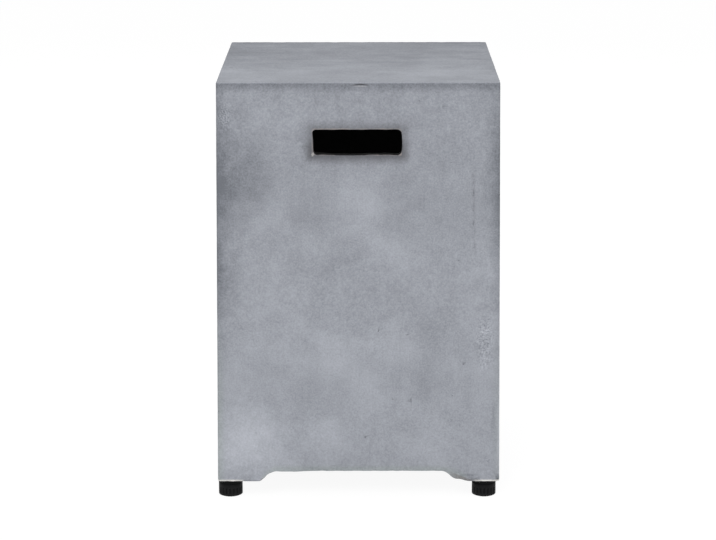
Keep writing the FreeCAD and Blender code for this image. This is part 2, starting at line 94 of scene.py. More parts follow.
class Spacing(Enum):
    """The longest edge of the shell's mesh, by where it lies."""

    INSIDE = 0.032
    OPEN = 0.015
    NEAR_EDGE = 0.0076
    EDGE = 0.0038
    SLOT = 0.0026
    TORN = 0.0019
    CHIP = 0.001


def eased(value: float, low: float, high: float) -> float:
    """A step from 0 at low to 1 at high, with soft ends."""
    share = min(max((value - low) / (high - low), 0.0), 1.0)
    return share * share * (3 - 2 * share)


class Value:
    """What a node gives, so that sums on it are written as usual."""

    def __init__(self, graph: "Graph", socket: bpy.types.NodeSocket) -> None:
        """Keeps the socket, and the graph that it is in."""
        self.graph, self.socket = graph, socket

    def __add__(self, other: object) -> "Value":
        """The sum."""
        return self.graph.math("ADD", self, other)

    def __sub__(self, other: object) -> "Value":
        """The difference."""
        return self.graph.math("SUBTRACT", self, other)

    def __rsub__(self, other: object) -> "Value":
        """The difference from a number."""
        return self.graph.math("SUBTRACT", other, self)

    def __mul__(self, other: object) -> "Value":
        """The product."""
        return self.graph.math("MULTIPLY", self, other)

    def __truediv__(self, other: object) -> "Value":
        """The quotient."""
        return self.graph.math("DIVIDE", self, other)

    def __rtruediv__(self, other: object) -> "Value":
        """A number divided by this."""
        return self.graph.math("DIVIDE", other, self)

    def __abs__(self) -> "Value":
        """The value without its sign."""
        return self.graph.math("ABSOLUTE", self)


class Graph:
    """One node tree, with short calls for the nodes that the finishes and shapes need."""

    def __init__(self, tree: bpy.types.NodeTree) -> None:
        """Keeps the tree that the nodes go into."""
        self.tree = tree

    def feed(self, socket: bpy.types.NodeSocket, value: object) -> None:
        """Joins a socket to another one, or sets it to a plain value.

        Args:
            socket: The input that takes the value.
            value: What a node gives, or a number, colour, vector or text.
        """
        if isinstance(value, Value):
            self.tree.links.new(value.socket, socket)
        elif socket.type == "RGBA" and len(value) == 3:
            socket.default_value = (*value, 1.0)
        else:
            socket.default_value = value

    def add(self, kind: str, feeds: dict[str, object] | None = None, **settings: object) -> bpy.types.Node:
        """Adds a node.

        Args:
            kind: The node's type.
            feeds: What its inputs take, by identifier or name.
            settings: The node's own properties.

        Returns:
            The new node.
        """
        node = self.tree.nodes.new(kind)
        for name, value in settings.items():
            setattr(node, name, value)
        for name, value in (feeds or {}).items():
            found = ([socket for socket in node.inputs if socket.identifier == name]
                     or [socket for socket in node.inputs if socket.name == name])
            self.feed(found[0], value)
        return node

    def get(
        self, kind: str, feeds: dict[str, object] | None = None, output: int | str = 0, **settings: object
    ) -> Value:
        """Adds a node for one of its outputs, the first one unless another is named."""
        return Value(self, self.add(kind, feeds, **settings).outputs[output])

    def math(self, operation: str, *terms: object) -> Value:
        """One sum on one or two numbers.

        Args:
            operation: Blender's name for the sum.
            terms: The numbers.

        Returns:
            The result.
        """
        node = self.add("ShaderNodeMath", operation=operation)
        for socket, term in zip(node.inputs, terms):
            self.feed(socket, term)
        return Value(self, node.outputs[0])

    def chain(self, operation: str, terms: Sequence[object]) -> Value:
        """The same sum over several terms, one after another.

        Args:
            operation: Blender's name for the sum.
            terms: The numbers, at least one of them from a node.

        Returns:
            The result.
        """
        total = terms[0]
        for term in terms[1:]:
            total = self.math(operation, total, term)
        return total

    def vector(self, operation: str, first: object, second: object = None) -> Value:
        """One sum on vectors.

        Args:
            operation: Blender's name for the sum.
            first: The first vector.
            second: The second one, or the number that scales the first.

        Returns:
            The result, a number for a length.
        """
        node = self.add("ShaderNodeVectorMath", operation=operation)
        self.feed(node.inputs[0], first)
        if second is not None:
            self.feed(node.inputs["Scale"] if operation == "SCALE" else node.inputs[1], second)
        return Value(self, node.outputs["Value" if operation == "LENGTH" else "Vector"])

    def step(
        self, value: object, low: object, high: object, before: object = 0.0, after: object = 1.0
    ) -> Value:
        """A soft step of a number.

        Args:
            value: The number.
            low: Where the step starts.
            high: Where it ends.
            before: The result up to low.
            after: The result from high on.

        Returns:
            The stepped number.
        """
        names = ("Value", "From Min", "From Max", "To Min", "To Max")
        feeds = dict(zip(names, (value, low, high, before, after)))
        return self.get("ShaderNodeMapRange", feeds, "Result", interpolation_type="SMOOTHSTEP")

    def noise(
        self, place: object, scale: object, detail: object = 2.0, roughness: object = 0.5, twist: float = 0.0
    ) -> Value:
        """Fractal noise about zero.

        Args:
            place: The point that it is read at.
            scale: How many lumps there are to a metre.
            detail: How many finer layers it has.
            roughness: How strong the finer layers are.
            twist: How far the pattern is warped.

        Returns:
            The noise, mostly between -0.3 and 0.3.
        """
        names = ("Vector", "Scale", "Detail", "Roughness", "Distortion")
        feeds = dict(zip(names, (place, scale, detail, roughness, twist)))
        return self.get("ShaderNodeTexNoise", feeds) - 0.5

    def blend(self, share: object, first: object, second: object) -> Value:
        """A colour that goes from the first to the second as the share goes from 0 to 1."""
        feeds = {"Factor_Float": share, "A_Color": first, "B_Color": second}
        return self.get("ShaderNodeMix", feeds, 2, data_type="RGBA")

    def parts(self, vector: object) -> tuple[Value, ...]:
        """The x, y and z of a vector."""
        split = self.add("ShaderNodeSeparateXYZ", {"Vector": vector})
        return tuple(Value(self, part) for part in split.outputs)

    def point(self, x: object, y: object, z: object) -> Value:
        """A vector from three numbers."""
        return self.get("ShaderNodeCombineXYZ", {"X": x, "Y": y, "Z": z})

    def distance(self, across: object, up: object) -> Value:
        """How far off a point is that lies so far across and so far up."""
        return self.vector("LENGTH", self.point(across, 0.0, up))

    def place(self) -> Value:
        """The surface point in the piece's own coordinates."""
        return self.get("ShaderNodeTexCoord", output="Object")

    def named(self, name: str, sort: str) -> Value:
        """The mesh's own value of that name."""
        return self.get("GeometryNodeInputNamedAttribute", {"Name": name}, data_type=sort)

    def effect(self, group: bpy.types.NodeTree, output: str, **feeds: object) -> Value:
        """Places a shared effect.

        Args:
            group: The effect's node group.
            output: Which of its outputs is wanted.
            feeds: What its inputs take, by name.

        Returns:
            What that output gives.
        """
        return self.get("ShaderNodeGroup", feeds, output, node_tree=group)

    def bump(self, shader: bpy.types.Node, height: object) -> None:
        """Feeds a height in metres to a shader's normal."""
        feeds = {"Height": height, "Distance": 1.0, "Strength": 1.0}
        self.feed(shader.inputs["Normal"], self.get("ShaderNodeBump", feeds, "Normal"))


def start_group(
    name: str, kind: str, inputs: Sequence[tuple[str, str, object]], outputs: Sequence[tuple[str, str]]
) -> tuple[Graph, dict[str, Value], bpy.types.NodeInputs]:
    """Starts a node group with named sockets.

    Args:
        name: The group's name.
        kind: ShaderNodeTree or GeometryNodeTree.
        inputs: Name, kind of socket and starting value of each input.
        outputs: Name and kind of socket of each output.

    Returns:
        The group's graph, its inputs by name, and the sockets that take its results.
    """
    tree = bpy.data.node_groups.new(name, kind)
    for label, sort, start in inputs:
        socket = tree.interface.new_socket(label, in_out="INPUT", socket_type=f"NodeSocket{sort}")
        if start is not None:
            socket.default_value = start
    for label, sort in outputs:
        tree.interface.new_socket(label, in_out="OUTPUT", socket_type=f"NodeSocket{sort}")
    graph = Graph(tree)
    given = {socket.name: Value(graph, socket) for socket in tree.nodes.new("NodeGroupInput").outputs}
    return graph, given, tree.nodes.new("NodeGroupOutput").inputs


def start_material(name: str) -> tuple[bpy.types.Material, Graph, bpy.types.Node]:
    """Starts a material.

    Args:
        name: The material's name.

    Returns:
        The material, its graph and its shader node.
    """
    material = bpy.data.materials.new(name)
    material.use_nodes = True
    return material, Graph(material.node_tree), material.node_tree.nodes["Principled BSDF"]


class Effects:
    """The shader effects that several finishes share, each built once."""

    def __init__(self) -> None:
        """Builds every group."""
        self.clouds = self._clouds()
        self.grain = self._grain()
        self.rubs = self._rubs()

    @staticmethod
    def _clouds() -> bpy.types.NodeTree:
        """Soft lighter and darker clouds. Stretch draws them out where it is under 1.

        Returns:
            The node group.
        """
        inputs = [("Place", "Vector", None), ("Lump", "Float", 0.08), ("Layers", "Float", 3.0),
                  ("Roughness", "Float", 0.5), ("Stretch", "Vector", (1.0, 1.0, 1.0))]
        graph, given, made = start_group("soft_clouds", "ShaderNodeTree", inputs, [("Tone", "Float")])
        place = graph.vector("MULTIPLY", given["Place"], given["Stretch"])
        tone = graph.noise(place, 1.0 / given["Lump"], given["Layers"], given["Roughness"], 0.3)
        graph.feed(made["Tone"], tone)
        return graph.tree

    @staticmethod
    def _grain() -> bpy.types.NodeTree:
        """Fine speckle, as a tone for the colour and a relief for the bump.

        Returns:
            The node group.
        """
        inputs = [("Place", "Vector", None), ("Speck", "Float", 0.002)]
        outputs = [("Tone", "Float"), ("Relief", "Float")]
        graph, given, made = start_group("fine_grain", "ShaderNodeTree", inputs, outputs)
        scale = 1.0 / given["Speck"]
        speck = graph.noise(given["Place"], scale, 2.0, 0.65)
        crumb = graph.noise(given["Place"], scale * 2.7, 1.0)
        graph.feed(made["Tone"], speck)
        graph.feed(made["Relief"], crumb * 0.45 + speck)
        return graph.tree

    @staticmethod
    def _rubs() -> bpy.types.NodeTree:
        """Thin crossing rub marks, 1 along a mark and 0 beside it.

        Returns:
            The node group.
        """
        inputs = [("Place", "Vector", None), ("Spread", "Float", 0.01), ("Cover", "Float", 0.2)]
        graph, given, made = start_group("rub_marks", "ShaderNodeTree", inputs, [("Mask", "Float")])
        scale = 1.0 / given["Spread"]
        ridge = abs(graph.noise(given["Place"], scale, 3.0, 0.6, 1.5))
        patchy = graph.noise(given["Place"], scale * 0.4, 1.0)
        shown = graph.step(patchy, 0.1 - given["Cover"], 0.15)
        graph.feed(made["Mask"], graph.step(ridge, 0.0, 0.025, 1.0, 0.0) * shown)
        return graph.tree


@dataclass(frozen=True)
class Stain:
    """A soft oval patch on the front wall: its middle, its half sizes and its tone, paler above 0."""

    across: float
    up: float
    half_width: float
    half_height: float
    tone: float


# Soft patches of tone on the front wall, one of them painted shadow.
STAINS_AND_SHADOW = tuple(Stain(*numbers) for numbers in (
    (-0.212, 0.440, 0.088, 0.200, -0.34), (-0.130, 0.552, 0.090, 0.050, 0.06),
    (0.000, 0.150, 0.130, 0.110, 0.05), (0.1935, 0.125, 0.0035, 0.035, -0.14),
    (-0.204, 0.330, 0.046, 0.080, -0.14), (0.206, 0.455, 0.036, 0.150, -0.24),
    (-0.140, 0.472, 0.045, 0.035, -0.04), (-0.078, 0.412, 0.045, 0.030, -0.05),
    (-0.014, 0.350, 0.080, 0.040, -0.10), (-0.055, 0.152, 0.060, 0.040, -0.07),
    (0.062, 0.172, 0.050, 0.040, -0.08), (0.110, 0.270, 0.060, 0.045, -0.11),
    (0.006, 0.432, 0.056, 0.056, 0.15), (0.052, 0.362, 0.046, 0.042, 0.13),
    (-0.050, 0.222, 0.080, 0.055, 0.13), (0.050, 0.230, 0.050, 0.045, 0.09),
    (-0.160, 0.075, 0.095, 0.080, 0.30), (-0.045, 0.085, 0.060, 0.050, 0.17),
    (0.120, 0.080, 0.060, 0.050, 0.08), (-0.157, 0.031, 0.016, 0.009, -0.16),
    # The dark oval at 0.2010 across and 0.030 up is painted shadow under the shell's bottom right corner.
    (0.161, 0.0345, 0.014, 0.0030, -0.30), (0.2010, 0.030, 0.0045, 0.009, -0.50),
    (0.204, 0.110, 0.006, 0.190, 0.42),
))


@dataclass(frozen=True)
class ConcreteFinish:
    """Clouded grey cast concrete, with its inside and its hand slots' reveals painted near-black as painted
    shade.
    """

    dark: Colour = (0.158, 0.168, 0.190)
    pale: Colour = (0.517, 0.537, 0.590)
    damp: Colour = (0.950, 0.980, 0.925)
    # Dark colour of the painted shade round the hand slots and in the chip.
    painted_soft_shade: Colour = (0.052, 0.050, 0.053)
    # Colour of the painted highlight along the hand slots' rims.
    rim_highlight: Colour = (0.300, 0.270, 0.262)
    # Pale colour of the painted highlights on the chip's lip, on the front's bottom edge over the feet, and
    # at a slot corner.
    pale_highlight: Colour = (0.84, 0.82, 0.79)
    # Dark warm colour of the line along the arch's curves.
    arch_line_colour: Colour = (0.170, 0.140, 0.125)
    # Near-black painted shade for the inside and the hand slots' reveals.
    painted_deep_shade: Colour = (0.0100, 0.0100, 0.0102)
    middle_tone: float = 0.485
    speck: float = 0.0024

    def material(self, effects: Effects, shell: "CastShell") -> bpy.types.Material:
        """Builds the finish.

        Args:
            effects: The shared effects.
            shell: The shell, for where its edges, slots and walls lie.

        Returns:
            The material.
        """
        material, graph, shader = start_material("cast_concrete")
        surface = ConcreteSurface(graph, effects, shell, self)
        grain = graph.effect(effects.grain, "Tone", Place=surface.place, Speck=self.speck)
        tones = [self.middle_tone, grain * 0.58, *surface.clouding(), *surface.edging()]
        tones += [surface.stained(stain) for stain in STAINS_AND_SHADOW]
        tones += [surface.torn(patch) for patch in ROUGH_PATCHES]
        colour = graph.blend(graph.chain("ADD", tones), self.dark, self.pale)
        for tinted in (surface.low_tints, surface.chip_shading, surface.slot_shading):
            colour = tinted(colour)
        # The inside and the slot reveals get near-black painted shade.
        inner_shade = surface.inner_shade()
        graph.feed(shader.inputs["Base Color"], graph.blend(inner_shade, colour, self.painted_deep_shade))
        graph.feed(shader.inputs["Roughness"], grain * 0.25 + 0.80 - inner_shade * 0.10)
        shader.inputs["IOR"].default_value = 1.45
        shader.inputs["Specular IOR Level"].default_value = 0.25
        graph.bump(shader, surface.relief())
        return material


class ConcreteSurface:
    """The tones, masks and relief of the concrete at each surface point, by its place on the shell."""

    def __init__(self, graph: Graph, effects: Effects, shell: "CastShell", finish: ConcreteFinish) -> None:
        """Adds the nodes that say where a point lies, and some shared noise.

        Args:
            graph: The material's graph.
            effects: The shared effects.
            shell: The shell, for where its faces, slots and arches lie.
            finish: The finish, for its colours.
        """
        self.graph, self.effects, self.shell, self.finish = graph, effects, shell, finish
        self.place = graph.place()
        self.x, self.y, self.z = graph.parts(self.place)
        across, deep = abs(self.x), abs(self.y)
        half = shell.half_base - (self.z - shell.bottom) * shell.lean_share()
        self.under_top = shell.top - self.z
        gaps = [half - across, half - deep, self.under_top]
        # The depth in from the nearest outer face, and the distance from the nearest outer edge.
        self.depth = graph.chain("MINIMUM", gaps)
        self.edge = graph.chain("ADD", gaps) - self.depth - graph.chain("MAXIMUM", gaps)
        # Masks: the walls, the table top, the front wall, and both walls with a hand slot.
        self.wall = graph.step(self.under_top, 0.001, 0.003)
        self.top = 1.0 - self.wall
        self.front = graph.step(self.y, -0.110, -0.192)
        self.slotted = graph.math("GREATER_THAN", deep, across) * self.wall
        # The distance from the outline of the hand slot.
        aside = abs(self.x - shell.slot_offset) - shell.slot_half_width
        above = abs(self.z - shell.slot_middle) - shell.slot_half_height
        self.slot = graph.distance(graph.math("MAXIMUM", aside, 0.0), graph.math("MAXIMUM", above, 0.0))
        # How far the arch has risen over the bottom edge here, and how far above it the point lies.
        left = graph.step(self.x, *shell.left_curve, 0.0, shell.arch_rise())
        right = graph.step(self.x, *shell.right_curve, shell.arch_rise(), 0.0)
        self.arch = graph.math("MINIMUM", left, right)
        self.above_arch = self.z - shell.bottom - self.arch
        # Ragged noise for outlines, and broad noise for what comes and goes.
        self.ragged = graph.noise(self.place, 260.0, 3.0, 0.6)
        self.patchy = graph.noise(self.place, 14.0, 2.0)
        self.wander = graph.noise(self.place, 42.0, 3.0, 0.6)
        self.drift = (self.patchy + self.wander) * 0.8
        # Fine noise for painted light and dark specks.
        self.painted_specks = graph.noise(self.place, 430.0, 2.0, 0.7)

    def _cloud(self, **feeds: object) -> Value:
        """Soft clouds at the point."""
        return self.graph.effect(self.effects.clouds, "Tone", Place=self.place, **feeds)

    def clouding(self) -> list[Value]:
        """The clouds, and the streaks that the mould and the float left.

        Returns:
            Their tones, to be added up.
        """
        step = self.graph.step
        broad = self._cloud(Lump=0.11, Layers=2.0)
        mottle = self._cloud(Lump=0.040, Layers=5.0, Roughness=0.85)
        upright = self._cloud(Lump=0.0035, Stretch=(1.0, 1.0, 0.12))
        level = self._cloud(Lump=0.012, Stretch=(0.10, 1.0, 1.0))
        dapple = self._cloud(Lump=0.085, Stretch=(0.6, 1.0, 1.0))
        mottled = step(self.z, 0.50, 0.56, 0.54, 0.66) * step(self.top, 0.0, 1.0, 1.0, 0.6)
        streaked = step(self.patchy, -0.1, 0.2, 0.04, 0.14) * self.wall
        return [broad * (0.48 - self.front * 0.24), mottle * mottled, upright * streaked,
                level * 0.17 * self.top, dapple * 0.30 * self.top]

    def edging(self) -> list[Value]:
        """The walls' darker upper parts, painted shade along their edges and under the top edge, and the
        table top darker towards its back.

        Returns:
            Their tones, to be added up.
        """
        step = self.graph.step
        # Painted shade along the wall edges and in a thin line under the top edge; the band under the top
        # edge is partly painted shade and partly staining.
        upper = step(self.z, 0.33, 0.50, 0.0, -0.10)
        high = step(self.z, 0.10, 0.28, 0.15, 1.0)
        along = step(self.edge, 0.0, self.patchy * 0.03 + 0.016, -0.12, 0.0) * high
        band = step(self.under_top, 0.005, self.wander * 0.012 + 0.0175, -0.17, 0.0)
        line = step(self.under_top, 0.0010, 0.0028, -0.08, 0.0)
        rear = step(self.y, -0.20, 0.17, -0.01, -0.19)
        last = step(self.y, 0.180, 0.194, 0.0, -0.12)
        tones = [tone * self.wall for tone in (upper, along, band, line)]
        return tones + [tone * self.top for tone in (rear, last)]

    def _out_of(self, oval: "Stain | RoughPatch") -> Value:
        """How far out of an oval patch's middle the point is, 1 at its outline."""
        aside = (self.x - oval.across) / oval.half_width
        return self.graph.distance(aside, (self.z - oval.up) / oval.half_height)

    def stained(self, stain: Stain) -> Value:
        """The tone of one soft patch on the front wall."""
        return self.graph.step(self._out_of(stain) + self.drift, 0.0, 1.1, stain.tone, 0.0) * self.front

    def torn(self, patch: "RoughPatch") -> Value:
        """Painted highlights and shade: light and dark specks on a patch where the mould tore the skin, for
        the light on its bumps.
        """
        return self.graph.step(self._out_of(patch), 0.3, 1.2, 1.9, 0.0) * self.painted_specks * self.front

    def chip_shading(self, colour: Value) -> Value:
        """Adds painted shadow in the upper part of the chip in the top front edge, and a pale painted
        highlight on its lower lip.

        Args:
            colour: The colour so far.

        Returns:
            The colour with both.
        """
        graph, shell = self.graph, self.shell
        aside = (self.x - shell.chip_middle) / shell.chip_half_width
        share = graph.math("MAXIMUM", 1.0 - aside * aside, 0.0) * self.front
        under = share * shell.chip_bow + (self.under_top - shell.chip_drop)
        # Painted shadow in the chip's upper part, and a pale painted highlight on its lower lip.
        chip_shadow = graph.step(abs(under + 0.0012), 0.0003, 0.0014, 0.80, 0.0)
        chip_highlight = graph.step(abs(under - 0.0013), 0.0002, 0.0009, 0.20, 0.0)
        colour = graph.blend(chip_shadow * share, colour, self.finish.painted_soft_shade)
        return graph.blend(chip_highlight * share * share, colour, self.finish.pale_highlight)

    def low_tints(self, colour: Value) -> Value:
        """Adds greenish damp along the low edges, a dark warm line along the arch's curves, and a pale
        painted highlight on the front's bottom edge over the feet.

        Args:
            colour: The colour so far.

        Returns:
            The colour with all three.
        """
        graph, shell, step = self.graph, self.shell, self.graph.step
        stray = self.ragged * 0.006
        beside = step(stray + self.edge, 0.002, 0.013, 1.0, 0.0) * step(self.z, 0.12, 0.30, 1.0, 0.0)
        beside *= step(self.x, -0.1, 0.1, 1.0, 0.45)
        over = step(stray + self.above_arch, 0.003, 0.011, 1.0, 0.0) * step(self.arch, 0.001, 0.006)
        damp = graph.math("MAXIMUM", beside, over)
        colour = graph.blend(damp * self.wall, colour, graph.vector("MULTIPLY", colour, self.finish.damp))
        rise = shell.arch_rise()
        # A dark warm line just above the arch's curves.
        rising = step(self.arch, 0.0003, 0.002) * step(self.arch, 0.5 * rise, rise, 1.0, 0.0)
        line = step(self.ragged * 0.002 + self.above_arch, 0.0006, 0.0022, 0.45, 0.0)
        colour = graph.blend(line * rising * self.wall, colour, self.finish.arch_line_colour)
        # A pale painted highlight along the front's bottom edge over the feet.
        low_edge_highlight = step(self.ragged * 0.001 + self.z, shell.bottom + 0.0016, shell.bottom + 0.0030, 0.9, 0.0)
        over_foot = step(abs(self.x), 0.164, 0.170)
        return graph.blend(low_edge_highlight * over_foot * self.front, colour, self.finish.pale_highlight)

    def slot_shading(self, colour: Value) -> Value:
        """Adds painted shade round the hand slots, heavier below them, a painted highlight along their rims,
        and a pale painted highlight at the front slot's lower left corner.

        Args:
            colour: The colour so far.

        Returns:
            The colour with all three.
        """
        graph, shell, step = self.graph, self.shell, self.graph.step
        below = step(self.z, shell.slot_middle - 0.010, shell.slot_middle + 0.010, 1.0, 0.0)
        gap = self.ragged * 0.003 + self.slot
        # Painted shade: a soft dark halo round each slot, heavier below it and darkest at its edge.
        halo_shade = step(gap, -0.002, self.wander * 0.012 + below * 0.002 + 0.017, below * 0.32 + 0.44, 0.0)
        close = step(gap, 0.0, 0.0045, 0.35, 0.0)
        colour = graph.blend(graph.math("MAXIMUM", halo_shade, close) * self.slotted, colour, self.finish.painted_soft_shade)
        # Painted highlight along each slot's rounded rim.
        rubbed = step(gap, 0.0004, 0.0016, 1.0, 0.0) * step(self.wander, -0.15, 0.15, 0.2, 0.8)
        colour = graph.blend(rubbed * self.slotted, colour, self.finish.rim_highlight)
        # A pale painted highlight at the lower left corner of the front slot.
        aside = self.x - (shell.slot_offset - shell.slot_half_width + 0.0005)
        above = self.z - (shell.slot_middle - shell.slot_half_height + 0.0008)
        painted_specks = step(self.ragged * 0.010 + graph.distance(aside, above), 0.0008, 0.0030, 0.28, 0.0)
        return graph.blend(painted_specks * self.front, colour, self.finish.pale_highlight)

    def inner_shade(self) -> Value:
        """Where the near-black painted shade lies: all of the inside, and the reveals of the hand slots.

        Returns:
            1 under the painted shade and 0 elsewhere.
        """
        shell, step = self.shell, self.graph.step
        # Near-black painted shade over the inside and the slot reveals.
        inside = step(self.ragged * 0.004 + self.depth, shell.wall - 0.0035, shell.wall - 0.0015)
        inside *= step(self.z, shell.bottom + 0.0005, shell.bottom + 0.002)
        reveal = step(self.depth, 0.0007, 0.0012) * step(self.slot, 0.0035, 0.0045, 1.0, 0.0) * self.slotted
        return self.graph.math("MAXIMUM", inside, reveal)

    def relief(self) -> Value:
        """The grain, the drag of the float and the pinholes.

        Returns:
            Their height in metres.
        """
        graph = self.graph
        feeds = {"Vector": self.place, "Scale": 95.0, "Randomness": 1.0}
        cells = graph.add("ShaderNodeTexVoronoi", feeds).outputs
        chance, away = graph.parts(Value(graph, cells["Color"]))[0], Value(graph, cells["Distance"])
        wanted = graph.math("GREATER_THAN", chance, 0.88)
        clear = graph.step(graph.math("MINIMUM", self.edge, self.slot), 0.0020, 0.0045)
        pinholes = graph.step(away, 0.04, 0.11, -0.0002, 0.0) * wanted * clear
        grain = graph.effect(self.effects.grain, "Relief", Place=self.place, Speck=self.finish.speck)
        return (grain + self._cloud(Lump=0.007, Stretch=(1.0, 1.0, 0.3))) * 0.00036 + pinholes


@dataclass(frozen=True)
class MouldedFinish:
    """Black moulded plastic or rubber, a little dusty and rubbed, and greyer where the mesh's own value for
    its lands is high, partly rub and partly painted highlight.
    """

    name: str
    colour: Colour
    dust: Colour
    roughness: float
    dust_share: float
    rub_and_highlight_share: float = 0.0

    def material(self, effects: Effects) -> bpy.types.Material:
        """Builds the finish.

        Args:
            effects: The shared effects.

        Returns:
            The material.
        """
        material, graph, shader = start_material(self.name)
        place = graph.place()
        clouds = graph.effect(effects.clouds, "Tone", Place=place, Lump=0.008)
        rubbed = graph.effect(effects.rubs, "Mask", Place=place, Spread=0.007, Cover=0.15)
        low = graph.step(graph.parts(place)[2], 0.001, 0.014, 1.0, 0.4)
        # Greyer lands: partly rub and partly painted highlight.
        edges = graph.get("ShaderNodeAttribute", output="Fac", attribute_name="worn_edge")
        settled = graph.step(clouds, -0.1, 0.3, 0.0, self.dust_share) * low
        dusty = settled + rubbed * 0.15 + edges * self.rub_and_highlight_share
        graph.feed(shader.inputs["Base Color"], graph.blend(dusty, self.colour, self.dust))
        graph.feed(shader.inputs["Roughness"], clouds * 0.2 + self.roughness + dusty * 0.25)
        shader.inputs["Specular IOR Level"].default_value = 0.09
        graph.bump(shader, graph.effect(effects.grain, "Relief", Place=place, Speck=0.0006) * 0.00003)
        return material


@dataclass(frozen=True)
class MetalFinish:
    """Plated or turned metal that has dulled."""

    name: str
    colour: Colour
    tarnish: Colour
    roughness: float

    def material(self, effects: Effects) -> bpy.types.Material:
        """Builds the finish.

        Args:
            effects: The shared effects.

        Returns:
            The material.
        """
        material, graph, shader = start_material(self.name)
        place = graph.place()
        clouds = graph.effect(effects.clouds, "Tone", Place=place, Lump=0.005)
        rings = graph.effect(effects.clouds, "Tone", Place=place, Lump=0.0008, Stretch=(0.05, 0.05, 1.0))
        grain = graph.effect(effects.grain, "Relief", Place=place, Speck=0.0004)
        dull = graph.step(clouds, -0.15, 0.25, 0.05, 0.7)
        graph.feed(shader.inputs["Base Color"], graph.blend(dull, self.colour, self.tarnish))
        shader.inputs["Metallic"].default_value = 1.0
        graph.feed(shader.inputs["Roughness"], dull * 0.25 + self.roughness)
        graph.bump(shader, rings * 0.00001 + grain * 0.000008)
        return material


